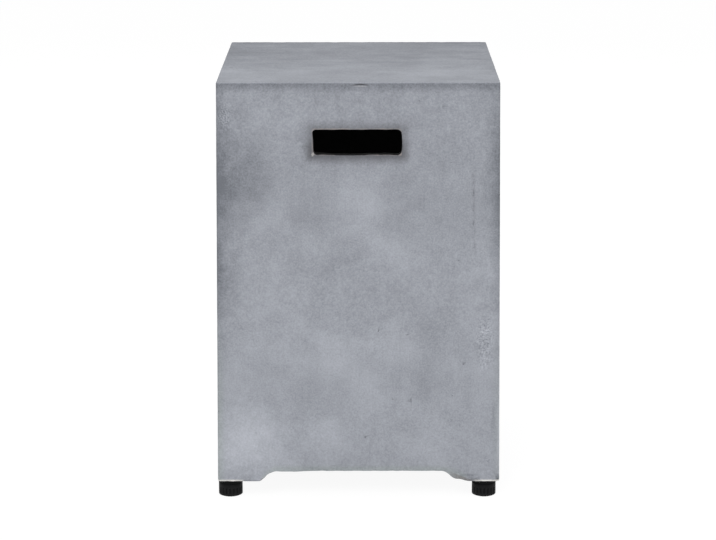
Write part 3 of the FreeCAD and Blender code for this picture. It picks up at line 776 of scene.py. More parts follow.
class ShapeTrees:
    """The geometry trees that make what repeats on the pieces, each built once."""

    def __init__(self) -> None:
        """Builds every tree."""
        self.air_holes = self._air_holes()
        self.flutes = self._flutes()
        self.screw_thread = self._screw_thread()

    @staticmethod
    def _start(
        name: str, inputs: Sequence[tuple[str, str, object]]
    ) -> tuple[Graph, dict[str, Value], bpy.types.NodeInputs]:
        """Starts a tree that takes a mesh and a finish, and the further inputs given."""
        given = [("Mesh", "Geometry", None), ("Finish", "Material", None), *inputs]
        return start_group(name, "GeometryNodeTree", given, [("Mesh", "Geometry")])

    @staticmethod
    def _end(
        graph: Graph, given: dict[str, Value], made: bpy.types.NodeInputs, mesh: Value
    ) -> bpy.types.NodeTree:
        """Ends a tree with real geometry in its finish.

        Args:
            graph: The tree's graph.
            given: The tree's inputs.
            made: The sockets that take its results.
            mesh: The geometry.

        Returns:
            The tree.
        """
        real = graph.get("GeometryNodeRealizeInstances", {"Geometry": mesh})
        dressed = graph.get("GeometryNodeSetMaterial", {"Geometry": real, "Material": given["Finish"]})
        graph.feed(made["Mesh"], dressed)
        return graph.tree

    @staticmethod
    def _scattered(graph: Graph, given: dict[str, Value]) -> Value:
        """Points for air holes on the open faces, with the size and facing of each.

        Args:
            graph: The tree's graph.
            given: The tree's inputs.

        Returns:
            The points.
        """
        scatter = graph.add("GeometryNodeDistributePointsOnFaces", {
            "Mesh": given["Mesh"], "Selection": graph.named("open_face", "BOOLEAN"), "Seed": given["Seed"],
            "Distance Min": given["Least Apart"], "Density Max": given["Holes To A Square Metre"],
        }, distribute_method="POISSON").outputs
        chance = graph.get("FunctionNodeRandomValue", {"Seed": given["Seed"]}, 1, data_type="FLOAT")
        size = graph.math("POWER", chance, 2.5) * (given["Largest"] - given["Smallest"]) + given["Smallest"]
        points, normal = Value(graph, scatter["Points"]), Value(graph, scatter["Normal"])
        for name, value, sort in (("size", size, "FLOAT"), ("facing", normal, "FLOAT_VECTOR")):
            feeds = {"Geometry": points, "Name": name, "Value": value}
            points = graph.get("GeometryNodeStoreNamedAttribute", feeds, data_type=sort)
        return points

    @staticmethod
    def _lumps(graph: Graph, given: dict[str, Value], points: Value) -> Value:
        """The uneven lumps that are cut out to make the air holes.

        Args:
            graph: The tree's graph.
            given: The tree's inputs.
            points: Where the holes go.

        Returns:
            The lumps.
        """
        facing, wide = graph.named("facing", "FLOAT_VECTOR"), graph.named("size", "FLOAT")
        lump = graph.get("GeometryNodeMeshIcoSphere", {"Radius": 1.0, "Subdivisions": 2}, "Mesh")
        flat = graph.point(1.0, 1.0, given["Flatness"])
        lumps = graph.get("GeometryNodeInstanceOnPoints", {
            "Points": points, "Scale": graph.point(wide, wide, wide),
            "Instance": graph.get("GeometryNodeTransform", {"Geometry": lump, "Scale": flat}),
            "Rotation": graph.get("FunctionNodeAlignRotationToVector", {"Vector": facing}, axis="Z"),
        })
        lumps = graph.get("GeometryNodeRealizeInstances", {"Geometry": lumps})
        here = graph.get("GeometryNodeInputPosition")
        wobble = graph.get("ShaderNodeTexNoise", {"Vector": here, "Scale": 900.0, "Detail": 1.0}, "Color")
        wobble = graph.vector("SCALE", graph.vector("SUBTRACT", wobble, (0.5, 0.5, 0.5)), given["Unevenness"])
        return graph.get("GeometryNodeSetPosition", {"Geometry": lumps, "Offset": wobble})

    def _air_holes(self) -> bpy.types.NodeTree:
        """Air holes in cast faces, some scattered and some at given points, and one hairline crack.

        Returns:
            The tree.
        """
        graph, given, made = self._start("air_holes", [
            ("Holes To A Square Metre", "Float", 90.0), ("Least Apart", "Float", 0.010),
            ("Smallest", "Float", 0.0004), ("Largest", "Float", 0.0013), ("Flatness", "Float", 0.8),
            ("Unevenness", "Float", 0.0007), ("Given Holes", "Object", None), ("Hairline", "Object", None),
            ("Hairline Width", "Float", 0.00027), ("Seed", "Int", 7),
        ])
        known = graph.get("GeometryNodeObjectInfo", {"Object": given["Given Holes"]}, "Geometry")
        known = graph.get("GeometryNodeMeshToPoints", {"Mesh": known})
        joined = graph.add("GeometryNodeJoinGeometry")
        for part in (self._scattered(graph, given), known):
            graph.feed(joined.inputs[0], part)
        crack = graph.get("GeometryNodeObjectInfo", {"Object": given["Hairline"]}, "Geometry")
        crack = graph.get("GeometryNodeMeshToCurve", {"Mesh": crack})
        width = {"Resolution": 6, "Radius": given["Hairline Width"]}
        round_tool = graph.get("GeometryNodeCurvePrimitiveCircle", width, mode="RADIUS")
        feeds = {"Curve": crack, "Profile Curve": round_tool, "Fill Caps": True}
        crack = graph.get("GeometryNodeCurveToMesh", feeds)
        lumps = self._lumps(graph, given, Value(graph, joined.outputs[0]))
        cut = graph.add("GeometryNodeMeshBoolean", operation="DIFFERENCE", solver="MANIFOLD")
        graph.feed(cut.inputs["Mesh 1"], given["Mesh"])
        for tool in (lumps, crack):
            graph.feed(cut.inputs["Mesh 2"], tool)
        return self._end(graph, given, made, Value(graph, cut.outputs["Mesh"]))

    def _flutes(self) -> bpy.types.NodeTree:
        """Upright flutes sunk into a turned piece, equally spaced round its axis.

        Returns:
            The tree.
        """
        graph, given, made = self._start("upright_flutes", [
            ("Count", "Int", 20), ("Outer Radius", "Float", 0.01725), ("Flute Radius", "Float", 0.0016),
            ("Depth", "Float", 0.0009), ("Low", "Float", 0.004), ("High", "Float", 0.0135),
            ("End", "Float", 0.0009),
        ])
        x, y, z = graph.parts(graph.get("GeometryNodeInputPosition"))
        flat = graph.point(x, y, 0.0)
        pitch = TURN / given["Count"]
        half_pitch = pitch * 0.5
        angle = graph.math("ARCTAN2", y, x) + half_pitch
        aside = (graph.math("FLOORED_MODULO", angle, pitch) - half_pitch) * given["Outer Radius"]
        radius = given["Flute Radius"]
        bow = graph.math("SQRT", graph.math("MAXIMUM", radius * radius - aside * aside, 0.0))
        sunk = graph.math("MAXIMUM", bow - (radius - given["Depth"]), 0.0)
        rise = graph.step(z, given["Low"], given["Low"] + given["End"])
        fall = graph.step(z, given["High"] - given["End"], given["High"], 1.0, 0.0)
        outside = graph.math("GREATER_THAN", graph.vector("LENGTH", flat), given["Outer Radius"] * 0.93)
        inward = sunk * rise * fall * outside * -1.0
        push = graph.vector("SCALE", graph.vector("NORMALIZE", flat), inward)
        moved = graph.get("GeometryNodeSetPosition", {"Geometry": given["Mesh"], "Offset": push})
        return self._end(graph, given, made, moved)

    def _screw_thread(self) -> bpy.types.NodeTree:
        """A right-handed ridge wound round a core, and made one with it.

        Returns:
            The tree.
        """
        graph, given, made = self._start("screw_thread", [
            ("Low", "Float", 0.012), ("High", "Float", 0.058), ("Pitch", "Float", 0.00125),
            ("Root Radius", "Float", 0.0033), ("Ridge", "Float", 0.00068), ("Base Width", "Float", 0.0011),
            ("Crest Width", "Float", 0.0002), ("Sink", "Float", 0.00012), ("Run Out", "Float", 0.02),
        ])
        length = given["High"] - given["Low"]
        radius = given["Root Radius"] - given["Sink"]
        spiral = graph.get("GeometryNodeCurveSpiral", {
            "Resolution": 24, "Rotations": length / given["Pitch"], "Height": length, "Reverse": True,
            "Start Radius": radius, "End Radius": radius})
        lift = graph.point(0.0, 0.0, given["Low"])
        spiral = graph.get("GeometryNodeTransform", {"Geometry": spiral, "Translation": lift})
        spiral = graph.get("GeometryNodeSetCurveNormal", {"Curve": spiral}, mode="Z_UP")
        tall = given["Ridge"] + given["Sink"]
        ridge = graph.get("GeometryNodeCurvePrimitiveQuadrilateral", {
            "Height": tall, "Bottom Width": given["Base Width"], "Top Width": given["Crest Width"],
            "Offset": 0.0}, mode="TRAPEZOID")
        ridge = graph.get("GeometryNodeTransform", {
            "Geometry": ridge, "Rotation": (0.0, 0.0, -TURN / 4),
            "Translation": graph.point(tall * 0.5, 0.0, 0.0)})
        along = graph.get("GeometryNodeSplineParameter", output="Factor")
        taper = graph.step(along, 0.0, given["Run Out"], 0.12, 1.0)
        taper *= graph.step(along, 1.0 - given["Run Out"], 1.0, 1.0, 0.12)
        ridge = graph.get("GeometryNodeCurveToMesh", {
            "Curve": spiral, "Profile Curve": ridge, "Scale": taper, "Fill Caps": True})
        union = graph.add("GeometryNodeMeshBoolean", operation="UNION", solver="MANIFOLD")
        for part in (given["Mesh"], ridge):
            graph.feed(union.inputs["Mesh 2"], part)
        return self._end(graph, given, made, Value(graph, union.outputs["Mesh"]))


def new_piece(name: str, mesh: bpy.types.Mesh) -> bpy.types.Object:
    """Makes an object for a mesh, at the origin.

    Args:
        name: The object's name.
        mesh: The mesh.

    Returns:
        The object.
    """
    piece = bpy.data.objects.new(name, mesh)
    bpy.context.scene.collection.objects.link(piece)
    return piece


def shape_by(piece: bpy.types.Object, tree: bpy.types.NodeTree, **given: object) -> None:
    """Runs a geometry tree on a piece and keeps what comes out as its plain mesh.

    Args:
        piece: The piece.
        tree: The geometry tree.
        given: The tree's inputs by name, with _ for each space, in lower case.
    """
    modifier = piece.modifiers.new(tree.name, "NODES")
    modifier.node_group = tree
    for item in tree.interface.items_tree:
        name = item.name.lower().replace(" ", "_")
        if item.item_type == "SOCKET" and item.in_out == "INPUT" and name in given:
            modifier[item.identifier] = given[name]
    graph = bpy.context.evaluated_depsgraph_get()
    made = bpy.data.meshes.new_from_object(piece.evaluated_get(graph), depsgraph=graph)
    piece.modifiers.remove(modifier)
    plain, piece.data = piece.data, made
    bpy.data.meshes.remove(plain)
    made.name = piece.name


def smooth_over(mesh: bpy.types.Mesh, sharpest: float) -> None:
    """Shades a mesh smooth, apart from edges that bend by more than so many degrees."""
    mesh.shade_smooth()
    mesh.set_sharp_from_angle(angle=math.radians(sharpest))


def attach(piece: bpy.types.Object, body: str, node: str) -> bpy.types.Object:
    """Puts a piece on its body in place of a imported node.

    Args:
        piece: The piece.
        body: The body that it moves with.
        node: The node that it stands for.

    Returns:
        The same piece.
    """
    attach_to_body(piece, body)
    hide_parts(node)
    return piece


@dataclass(frozen=True)
class Hole:
    """An air hole or a nick: the wall it is in, its place along and up that wall, and its radius."""

    wall: Wall
    along: float
    up: float
    radius: float = 0.0011


@dataclass(frozen=True)
class RoughPatch:
    """A patch of the front wall where the mould tore the skin: its middle and its half sizes."""

    across: float
    up: float
    half_width: float
    half_height: float

    def share(self, place: Vector) -> float:
        """How much of the roughness a point gets.

        Args:
            place: The point.

        Returns:
            The share, from 0 to 1.
        """
        if place.y > -0.15:
            return 0.0
        away = math.hypot((place.x - self.across) / self.half_width, (place.z - self.up) / self.half_height)
        return 1 - eased(away, 0.6, 1.15)


@dataclass(frozen=True)
class Bulge:
    """A place where the front arch's outline hangs low: its middle, its half width and how low it hangs."""

    across: float
    half_width: float
    drop: float

    def reach(self, x: float) -> float:
        """How low the outline hangs at a place across."""
        return self.drop * max(0.0, 1 - ((x - self.across) / self.half_width) ** 2) ** 2


FRONT_HOLES = (
    (0.0846, 0.5791), (0.1180, 0.5707), (0.1298, 0.4916), (0.0279, 0.2476), (0.0691, 0.2432),
    (0.1492, 0.1989), (0.1338, 0.1529), (0.0494, 0.1470), (0.0752, 0.1440), (0.1327, 0.1156),
    (-0.1473, 0.0978), (0.0093, 0.0902), (0.1421, 0.3511),
)
EDGE_NICKS = (
    Hole(Wall.FRONT, -0.2018, 0.1293, 0.0022), Hole(Wall.FRONT, 0.1985, 0.4460, 0.0014),
    Hole(Wall.FRONT, 0.2008, 0.0262, 0.0021), Hole(Wall.RIGHT, 0.1978, 0.5120, 0.0018),
    Hole(Wall.RIGHT, -0.0620, 0.6052, 0.0016), Hole(Wall.BACK, 0.2012, 0.2210, 0.0020),
    Hole(Wall.BACK, -0.0890, 0.6050, 0.0019), Hole(Wall.BACK, -0.2000, 0.3560, 0.0015),
    Hole(Wall.LEFT, 0.1120, 0.6053, 0.0017), Hole(Wall.LEFT, -0.1990, 0.4030, 0.0016),
    Hole(Wall.LEFT, 0.0700, 0.0412, 0.0015), Hole(Wall.RIGHT, -0.0310, 0.0410, 0.0018),
    Hole(Wall.BACK, 0.0480, 0.0409, 0.0016),
)
ARCH_BULGES = (Bulge(-0.1362, 0.0060, 0.0030), Bulge(-0.1290, 0.0100, 0.0015), Bulge(-0.1010, 0.0350, 0.0012),
               Bulge(0.1375, 0.0100, 0.0023))
ROUGH_PATCHES = (RoughPatch(-0.1870, 0.5560, 0.0100, 0.0210), RoughPatch(0.1800, 0.2330, 0.0140, 0.0480),
                 RoughPatch(0.1850, 0.0570, 0.0050, 0.0040))
# The hairline crack's corners, across and up the front wall, and the spacing of its points.
HAIRLINE = ((0.1620, 0.4788), (0.1628, 0.4044), (0.1647, 0.3568))
HAIRLINE_STEP = 0.0015


@dataclass
class CastShell:
    """The shell: the table top and the four walls in one casting, open below.

    Its skin is the depth where the wear of the outer faces starts to fade and the depth where it ends.
    """

    node: str = "shell"
    half_base: float = 0.2032
    lean: float = 0.0056
    bottom: float = 0.025
    top: float = 0.606
    wall: float = 0.014
    slot_half_width: float = 0.062
    slot_half_height: float = 0.018
    slot_middle: float = 0.5215
    slot_offset: float = -0.0021
    slot_reach: float = 0.016
    arch_top: float = 0.0405
    left_curve: tuple[float, float] = (-0.1467, -0.1187)
    right_curve: tuple[float, float] = (0.1182, 0.1722)
    chip_middle: float = 0.0032
    chip_half_width: float = 0.0130
    chip_half_height: float = 0.0021
    chip_drop: float = 0.0064
    chip_bow: float = 0.0014
    chip_depth: float = 0.0013
    skin: tuple[float, float] = (0.0015, 0.004)
    wave: float = 0.00016
    ripple: float = 0.00010
    inner_wave: float = 0.0005
    edge_wear: float = 0.00055
    edge_reach: float = 0.0045
    tear: float = 0.0011
    cell: float = 0.020
    shortest: float = 0.00005
    folded_over: float = 1.9
    longest_draw: float = 0.00008
    axes: list[Vector] = field(default_factory=lambda: [corner.axis() for corner in Corner])

    def lean_share(self) -> float:
        """How far the walls lean in for each metre of height."""
        return self.lean / (self.top - self.bottom)

    def arch_rise(self) -> float:
        """The height of the arch in each wall's bottom edge."""
        return self.arch_top - self.bottom

    def depths(self, place: Vector) -> tuple[float, float, float]:
        """How far a point lies in from the side, front or back, and top faces, the least one first."""
        half = self.half_base - self.lean_share() * (place.z - self.bottom)
        return tuple(sorted((half - abs(place.x), half - abs(place.y), self.top - place.z)))

    def slot_gap(self, place: Vector) -> float:
        """How far outside the outline of the nearest hand slot a point lies.

        Args:
            place: The point.

        Returns:
            The distance, or 1 where the point isn't near the front or back wall.
        """
        if abs(place.y) < self.half_base - 2.5 * self.wall:
            return 1.0
        aside = max(abs(place.x) - self.slot_half_width, 0.0)
        above = max(abs(place.z - self.slot_middle) - self.slot_half_height, 0.0)
        return math.hypot(aside, above)

    def arch_gap(self, place: Vector) -> float:
        """How far above the arch or the bottom edge a point of a wall lies.

        Args:
            place: The point.

        Returns:
            The height.
        """
        along = place.x if abs(place.y) > abs(place.x) else place.y
        rise = min(eased(along, *self.left_curve), 1 - eased(along, *self.right_curve))
        return place.z - self.bottom - rise * self.arch_rise()

    def chip_share(self, place: Vector) -> float:
        """How much of the chip at the middle of the top front edge a point gets, from 0 to 1."""
        across = (place.x - self.chip_middle) / self.chip_half_width
        return max(0.0, 1 - across * across) if place.y < -0.17 else 0.0

    def spacing(self, place: Vector) -> Spacing:
        """How finely the mesh is cut up at a point.

        Args:
            place: The point.

        Returns:
            The longest edge that it may have there.
        """
        least, second, _ = self.depths(place)
        slot = self.slot_gap(place)
        if least > 0.003 and slot > 0.004:
            return Spacing.INSIDE
        if self.chip_share(place) > 0 and second < 0.009:
            return Spacing.CHIP
        if max(patch.share(place) for patch in ROUGH_PATCHES) > 0:
            return Spacing.TORN
        if slot < 0.004:
            return Spacing.SLOT
        near = min(second, self.arch_gap(place), slot)
        return Spacing.EDGE if near < 0.006 else Spacing.NEAR_EDGE if near < 0.016 else Spacing.OPEN

    def refined(self) -> bmesh.types.BMesh:
        """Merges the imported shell's mesh and cuts it up finely enough to be worn and roughened.

        Returns:
            The mesh, in triangles.
        """
        mesh = bmesh.new()
        mesh.from_mesh(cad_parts[self.node].data)
        bmesh.ops.remove_doubles(mesh, verts=mesh.verts, dist=WELD)
        bmesh.ops.dissolve_limit(mesh, angle_limit=math.radians(0.05), verts=mesh.verts, edges=mesh.edges)
        for axis, low, high in ((0, -self.half_base, self.half_base), (1, -self.half_base, self.half_base),
                                (2, self.bottom, self.top)):
            across = Vector([float(axis == n) for n in range(3)])
            for step in range(1, math.ceil((high - low) / self.cell)):
                whole = mesh.verts[:] + mesh.edges[:] + mesh.faces[:]
                level = across * (low + step * self.cell)
                bmesh.ops.bisect_plane(mesh, geom=whole, dist=WELD, plane_co=level, plane_no=across)
        bmesh.ops.remove_doubles(mesh, verts=mesh.verts, dist=self.shortest)
        for _ in range(5):
            long = [edge for edge in mesh.edges
                    if edge.calc_length() > self.spacing((edge.verts[0].co + edge.verts[1].co) / 2).value]
            bmesh.ops.subdivide_edges(mesh, edges=long, cuts=1, use_grid_fill=True)
        bmesh.ops.triangulate(mesh, faces=mesh.faces)
        mesh.normal_update()
        return mesh

    def slot_shift(self, place: Vector) -> Vector:
        """How far the hand slots' outline strays from true near a point.

        Args:
            place: The point.

        Returns:
            The way that the point moves.
        """
        gap = self.slot_gap(place)
        if gap > self.slot_reach:
            return Vector()
        across = place.x / self.slot_half_width
        up = (place.z - self.slot_middle) / self.slot_half_height
        stray = Vector((noise.noise(place * 60), 0, noise.noise(place * 60 + Vector((7, 3, 1))))) * 0.0004
        if place.y < 0:
            left, right = eased(-across, 0.6, 1.0), eased(across, 0.6, 1.0)
            low, high = eased(-up, 0.4, 1.0), eased(up, 0.4, 1.0)
            stray.x += self.slot_offset
            stray.x += left * 0.0023 * (0.5 - 0.5 * up) + right * (0.0014 * (1 - up * up) - 0.0003 * low)
            sag = 0.0012 * max(0.0, 1 - ((across + 0.2) / 0.5) ** 2)
            stray.z -= low * sag + high * 0.0009 + low * right * 0.0008
        return stray * (1 - eased(gap, 0.001, self.slot_reach))

    def toe_shift(self, place: Vector) -> Vector:
        """How far the front arch's outline strays from true near a point.

        Args:
            place: The point.

        Returns:
            The way that the point moves.
        """
        if place.y > -self.half_base + 2 * self.wall or place.z > 0.06:
            return Vector()
        low = sum(bulge.reach(place.x) for bulge in ARCH_BULGES)
        return Vector((0, 0, -low * (1 - eased(self.arch_gap(place), 0.0, 0.016))))

    def steadiness(self, place: Vector) -> float:
        """How much of the wear a point gets near the seats of the feet, which stay true.

        Args:
            place: The point.

        Returns:
            0 at a seat and 1 away from them all.
        """
        if place.z >= 0.09:
            return 1.0
        nearest = min((Vector((place.x, place.y, 0)) - axis).length for axis in self.axes)
        return eased(nearest, 0.0105, 0.0160)

    def worn(self, place: Vector, normal: Vector) -> Vector:
        """Where a point of the true casting lies on the uneven, worn one.

        Args:
            place: The point on the true casting.
            normal: The outward normal there.

        Returns:
            The point's new place.
        """
        least, second, _ = self.depths(place)
        outer = 1 - eased(least, *self.skin)
        broad = 0.5 + 0.5 * noise.noise(place * 12.5)
        small = 0.5 + 0.5 * noise.noise(place * 40)
        push = -outer * (self.wave * broad + self.ripple * small)
        push += (1 - outer) * self.inner_wave * noise.noise(place * 33)
        edge = min(second, max(self.arch_gap(place), 0.0), self.slot_gap(place))
        near = 1 - eased(edge, 0.0, self.edge_reach)
        push -= outer * near * self.edge_wear * max(0.0, noise.noise(place * 110) + 0.15)
        rough = max(patch.share(place) for patch in ROUGH_PATCHES)
        push += outer * rough * self.tear * min(0.0, noise.noise(place * 210) - 0.2)
        chip = self.chip_share(place)
        if chip and least < self.skin[0]:
            under = self.top - place.z - self.chip_drop + self.chip_bow * chip
            push -= self.chip_depth * chip * max(0.0, 1 - (under / self.chip_half_height) ** 2)
        return place + normal * push * self.steadiness(place) + self.slot_shift(place) + self.toe_shift(place)

    def ease_folds(self, mesh: bmesh.types.BMesh) -> None:
        """Draws the outer points whose thin faces the wear folded over towards the points next to them.

        Args:
            mesh: The worn mesh, which is changed in place.
        """
        for _ in range(8):
            mesh.normal_update()
            sharp = (edge for edge in mesh.edges if edge.calc_face_angle(0.0) > self.folded_over)
            folded = [vertex for vertex in dict.fromkeys(vertex for edge in sharp for vertex in edge.verts)
                      if self.depths(vertex.co)[0] < 0.002]
            ways = []
            for vertex in folded:
                beside = [edge.other_vert(vertex).co for edge in vertex.link_edges]
                way = sum(beside, Vector()) / len(beside) - vertex.co
                ways.append(way * min(0.5, self.longest_draw / max(way.length, WELD)))
            for vertex, way in zip(folded, ways):
                vertex.co += way

    def mark_open_faces(self, mesh: bmesh.types.BMesh) -> None:
        """Marks the faces that small air holes may be scattered on: all but the front's, clear of edges.

        Args:
            mesh: The worn mesh, which takes the marks.
        """
        layer = mesh.faces.layers.bool.new("open_face")
        for face in mesh.faces:
            middle = face.calc_center_median()
            least, second, _ = self.depths(middle)
            clear = least < self.skin[0] and min(second, self.arch_gap(middle), self.slot_gap(middle)) > 0.006
            face[layer] = clear and middle.y > -0.165

    def given_holes(self, tree: BVHTree) -> bpy.types.Object:
        """The holes and nicks with a place of their own, as points on the worn surface.

        Args:
            tree: The worn surface.

        Returns:
            An object with the points, each with its size and facing.
        """
        holes = [Hole(Wall.FRONT, across, up) for across, up in FRONT_HOLES] + list(EDGE_NICKS)
        mesh = bpy.data.meshes.new("given_holes")
        places = []
        for hole in holes:
            away = hole.wall.outward() * (self.half_base - self.lean_share() * (hole.up - self.bottom))
            spot = away + hole.wall.sideways() * hole.along + Vector((0, 0, hole.up))
            places.append(tree.find_nearest(spot)[0])
        mesh.from_pydata(places, [], [])
        radii = [hole.radius for hole in holes]
        mesh.attributes.new("size", "FLOAT", "POINT").data.foreach_set("value", radii)
        facing = [number for hole in holes for number in hole.wall.outward()]
        mesh.attributes.new("facing", "FLOAT_VECTOR", "POINT").data.foreach_set("vector", facing)
        return new_piece("given_holes", mesh)

    def hairline(self, tree: BVHTree) -> bpy.types.Object:
        """The line of the hairline crack, which comes and goes along the worn surface.

        Args:
            tree: The worn surface.

        Returns:
            An object with the line.
        """
        spots = []
        for (x_from, z_from), (x_to, z_to) in zip(HAIRLINE, HAIRLINE[1:]):
            count = round((z_from - z_to) / HAIRLINE_STEP)
            for step in range(count):
                share = step / count
                spots.append((x_from + (x_to - x_from) * share, z_from + (z_to - z_from) * share))
        places = []
        for x, z in spots:
            stray = 0.0005 * noise.noise(Vector((3, 5, z * 160)))
            place = tree.ray_cast(Vector((x + stray, -0.5, z)), Vector((0, 1, 0)))[0]
            broken = 1 - eased(z, 0.36, 0.42)
            sway = noise.noise(Vector((9, 1, z * 90)))
            lift = 0.00008 + 0.00008 * broken + (0.00010 + 0.00025 * broken) * sway
            places.append(place - Vector((0, max(lift, 0.00002), 0)))
        mesh = bpy.data.meshes.new("hairline")
        mesh.from_pydata(places, [(n, n + 1) for n in range(len(places) - 1)], [])
        return new_piece("hairline", mesh)

    def build(self, effects: Effects, trees: ShapeTrees) -> list[bpy.types.Object]:
        """Makes the shell and dresses it.

        Args:
            effects: The shared shader effects.
            trees: The geometry trees.

        Returns:
            The shell, as a list of one piece.
        """
        shaped = self.refined()
        moved = [self.worn(vertex.co, vertex.normal) for vertex in shaped.verts]
        for vertex, place in zip(shaped.verts, moved):
            vertex.co = place
        self.ease_folds(shaped)
        shaped.normal_update()
        self.mark_open_faces(shaped)
        surface = BVHTree.FromBMesh(shaped)
        mesh = bpy.data.meshes.new("shell_cast")
        shaped.to_mesh(mesh)
        shaped.free()
        piece = new_piece("shell_cast", mesh)
        tools = [self.given_holes(surface), self.hairline(surface)]
        finish = ConcreteFinish().material(effects, self)
        shape_by(piece, trees.air_holes, finish=finish, given_holes=tools[0], hairline=tools[1])
        for tool in tools:
            bpy.data.objects.remove(tool)
        left_over = piece.data.attributes.get("open_face")
        if left_over:
            piece.data.attributes.remove(left_over)
        smooth_over(piece.data, 38)
        return [attach(piece, "shell", self.node)]


@dataclass(frozen=True)
class Ring:
    """One ring of a turned form, in millimetres.

    Its rounding is how far the corner there is cut back, and its flats are the width of the hexagon that
    trims the ring, or 0.
    """

    radius: float
    height: float
    rounding: float = 0.0
    flats: float = 0.0


def softened(rings: Sequence[Ring]) -> list[Ring]:
    """Turns each corner that has a rounding into a small curve.

    Args:
        rings: The rings in order along the profile.

    Returns:
        The longer list of rings.
    """
    made = []
    for number, ring in enumerate(rings):
        if not ring.rounding:
            made.append(ring)
            continue
        here = Vector((ring.radius, ring.height))
        ends = []
        for other in (rings[number - 1], rings[(number + 1) % len(rings)]):
            way = Vector((other.radius, other.height)) - here
            ends.append(here + way.normalized() * min(ring.rounding, 0.45 * way.length))
        for share in (0.0, 0.25, 0.5, 0.75, 1.0):
            spot = ends[0] * (1 - share) ** 2 + here * 2 * share * (1 - share) + ends[1] * share ** 2
            made.append(Ring(spot.x, spot.y, 0.0, ring.flats))
    return made


def turned(name: str, rings: Sequence[Ring], steps: int, closed: bool) -> bpy.types.Object:
    """A piece turned about the z axis.

    Args:
        name: The piece's name.
        rings: Its profile. An open one starts and ends on the axis, with radius 0.
        steps: How many points each ring has, a multiple of 6.
        closed: Whether the profile closes on itself.

    Returns:
        The piece.
    """
    mesh = bmesh.new()
    rows = []
    for ring in softened(rings):
        height = ring.height * MM
        if ring.radius == 0:
            rows.append([mesh.verts.new((0, 0, height))] * steps)
            continue
        row = []
        for step in range(steps):
            angle = TURN * step / steps
            radius = ring.radius
            if ring.flats:
                off = (angle % (TURN / 6)) - TURN / 12
                radius = min(radius, ring.flats / 2 / math.cos(off))
            row.append(mesh.verts.new((math.cos(angle) * radius * MM, math.sin(angle) * radius * MM, height)))
        rows.append(row)
    following = rows[1:] + (rows[:1] if closed else [])
    for row, after in zip(rows, following):
        for step in range(steps):
            beside = (step + 1) % steps
            mesh.faces.new(dict.fromkeys((row[step], row[beside], after[beside], after[step])))
    bmesh.ops.recalc_face_normals(mesh, faces=mesh.faces)
    made = bpy.data.meshes.new(name)
    mesh.to_mesh(made)
    mesh.free()
    return new_piece(name, made)


@dataclass
class CornerPart:
    """A part that stands at each of the four corners, made once about the z axis and sized in millimetres."""

    name: str
    node: str
    body: str
    slot: str
    looks: MouldedFinish | MetalFinish
    sharpest: float = 35.0

    def form(self, trees: ShapeTrees, finish: bpy.types.Material) -> bpy.types.Object:
        """The part's shape, about the z axis."""
        raise NotImplementedError

    def build(self, effects: Effects, trees: ShapeTrees) -> list[bpy.types.Object]:
        """Makes the part, puts one at each corner and dresses them.

        Args:
            effects: The shared shader effects.
            trees: The geometry trees.

        Returns:
            The four pieces.
        """
        first = self.form(trees, self.looks.material(effects))
        smooth_over(first.data, self.sharpest)
        pieces = []
        for corner in Corner:
            mesh = first.data.copy()
            mesh.transform(Matrix.Translation(corner.axis()))
            piece = new_piece(f"{self.name}_{corner.value}", mesh)
            body = self.body if self.body == "shell" else f"{self.body}_{corner.value}"
            pieces.append(attach(piece, body, f"{self.node}_{corner.value}"))
        bpy.data.objects.remove(first)
        return pieces


def in_metres(**lengths: float) -> dict[str, float]:
    """The lengths, given in millimetres, in metres."""
    return {name: length * MM for name, length in lengths.items()}


@dataclass
class ThreadedInsert(CornerPart):
    """A brass insert cast into the shell for a levelling bolt."""

    name: str = "insert_knurled"
    node: str = "threaded_insert"
    body: str = "shell"
    slot: str = "insert_brass"
    looks: MetalFinish = MetalFinish("dulled_brass", (0.62, 0.43, 0.16), (0.33, 0.22, 0.09), 0.32)
    base: float = 25.0
    bore: float = 4.05
    barrel: float = 6.0
    flange: float = 9.0
    anchor: float = 8.0
    length: float = 25.0

    def form(self, trees: ShapeTrees, finish: bpy.types.Material) -> bpy.types.Object:
        """Flange, knurled barrel and anchor ring round a bevelled bore.

        Args:
            trees: The geometry trees.
            finish: The insert's material.

        Returns:
            The insert, about the z axis.
        """
        end = self.base + self.length
        rings = [
            Ring(self.bore, self.base + 0.5),
            Ring(self.bore + 0.45, self.base),
            Ring(self.flange, self.base, 0.2),
            Ring(self.flange, self.base + 1.6, 0.2),
            Ring(self.barrel, self.base + 1.6),
            *[Ring(self.barrel, self.base + 2.2 + 0.5 * step) for step in range(40)],
            Ring(self.barrel, end - 2.5),
            Ring(self.anchor, end - 2.5, 0.2),
            Ring(self.anchor, end, 0.2),
            Ring(self.bore + 0.45, end),
            Ring(self.bore, end - 0.5),
        ]
        piece = turned(self.name, rings, 144, True)
        sizes = in_metres(outer_radius=self.barrel, flute_radius=0.45, depth=0.28, low=self.base + 2.4,
                          high=end - 3.1, end=0.6)
        shape_by(piece, trees.flutes, finish=finish, count=24, **sizes)
        return piece


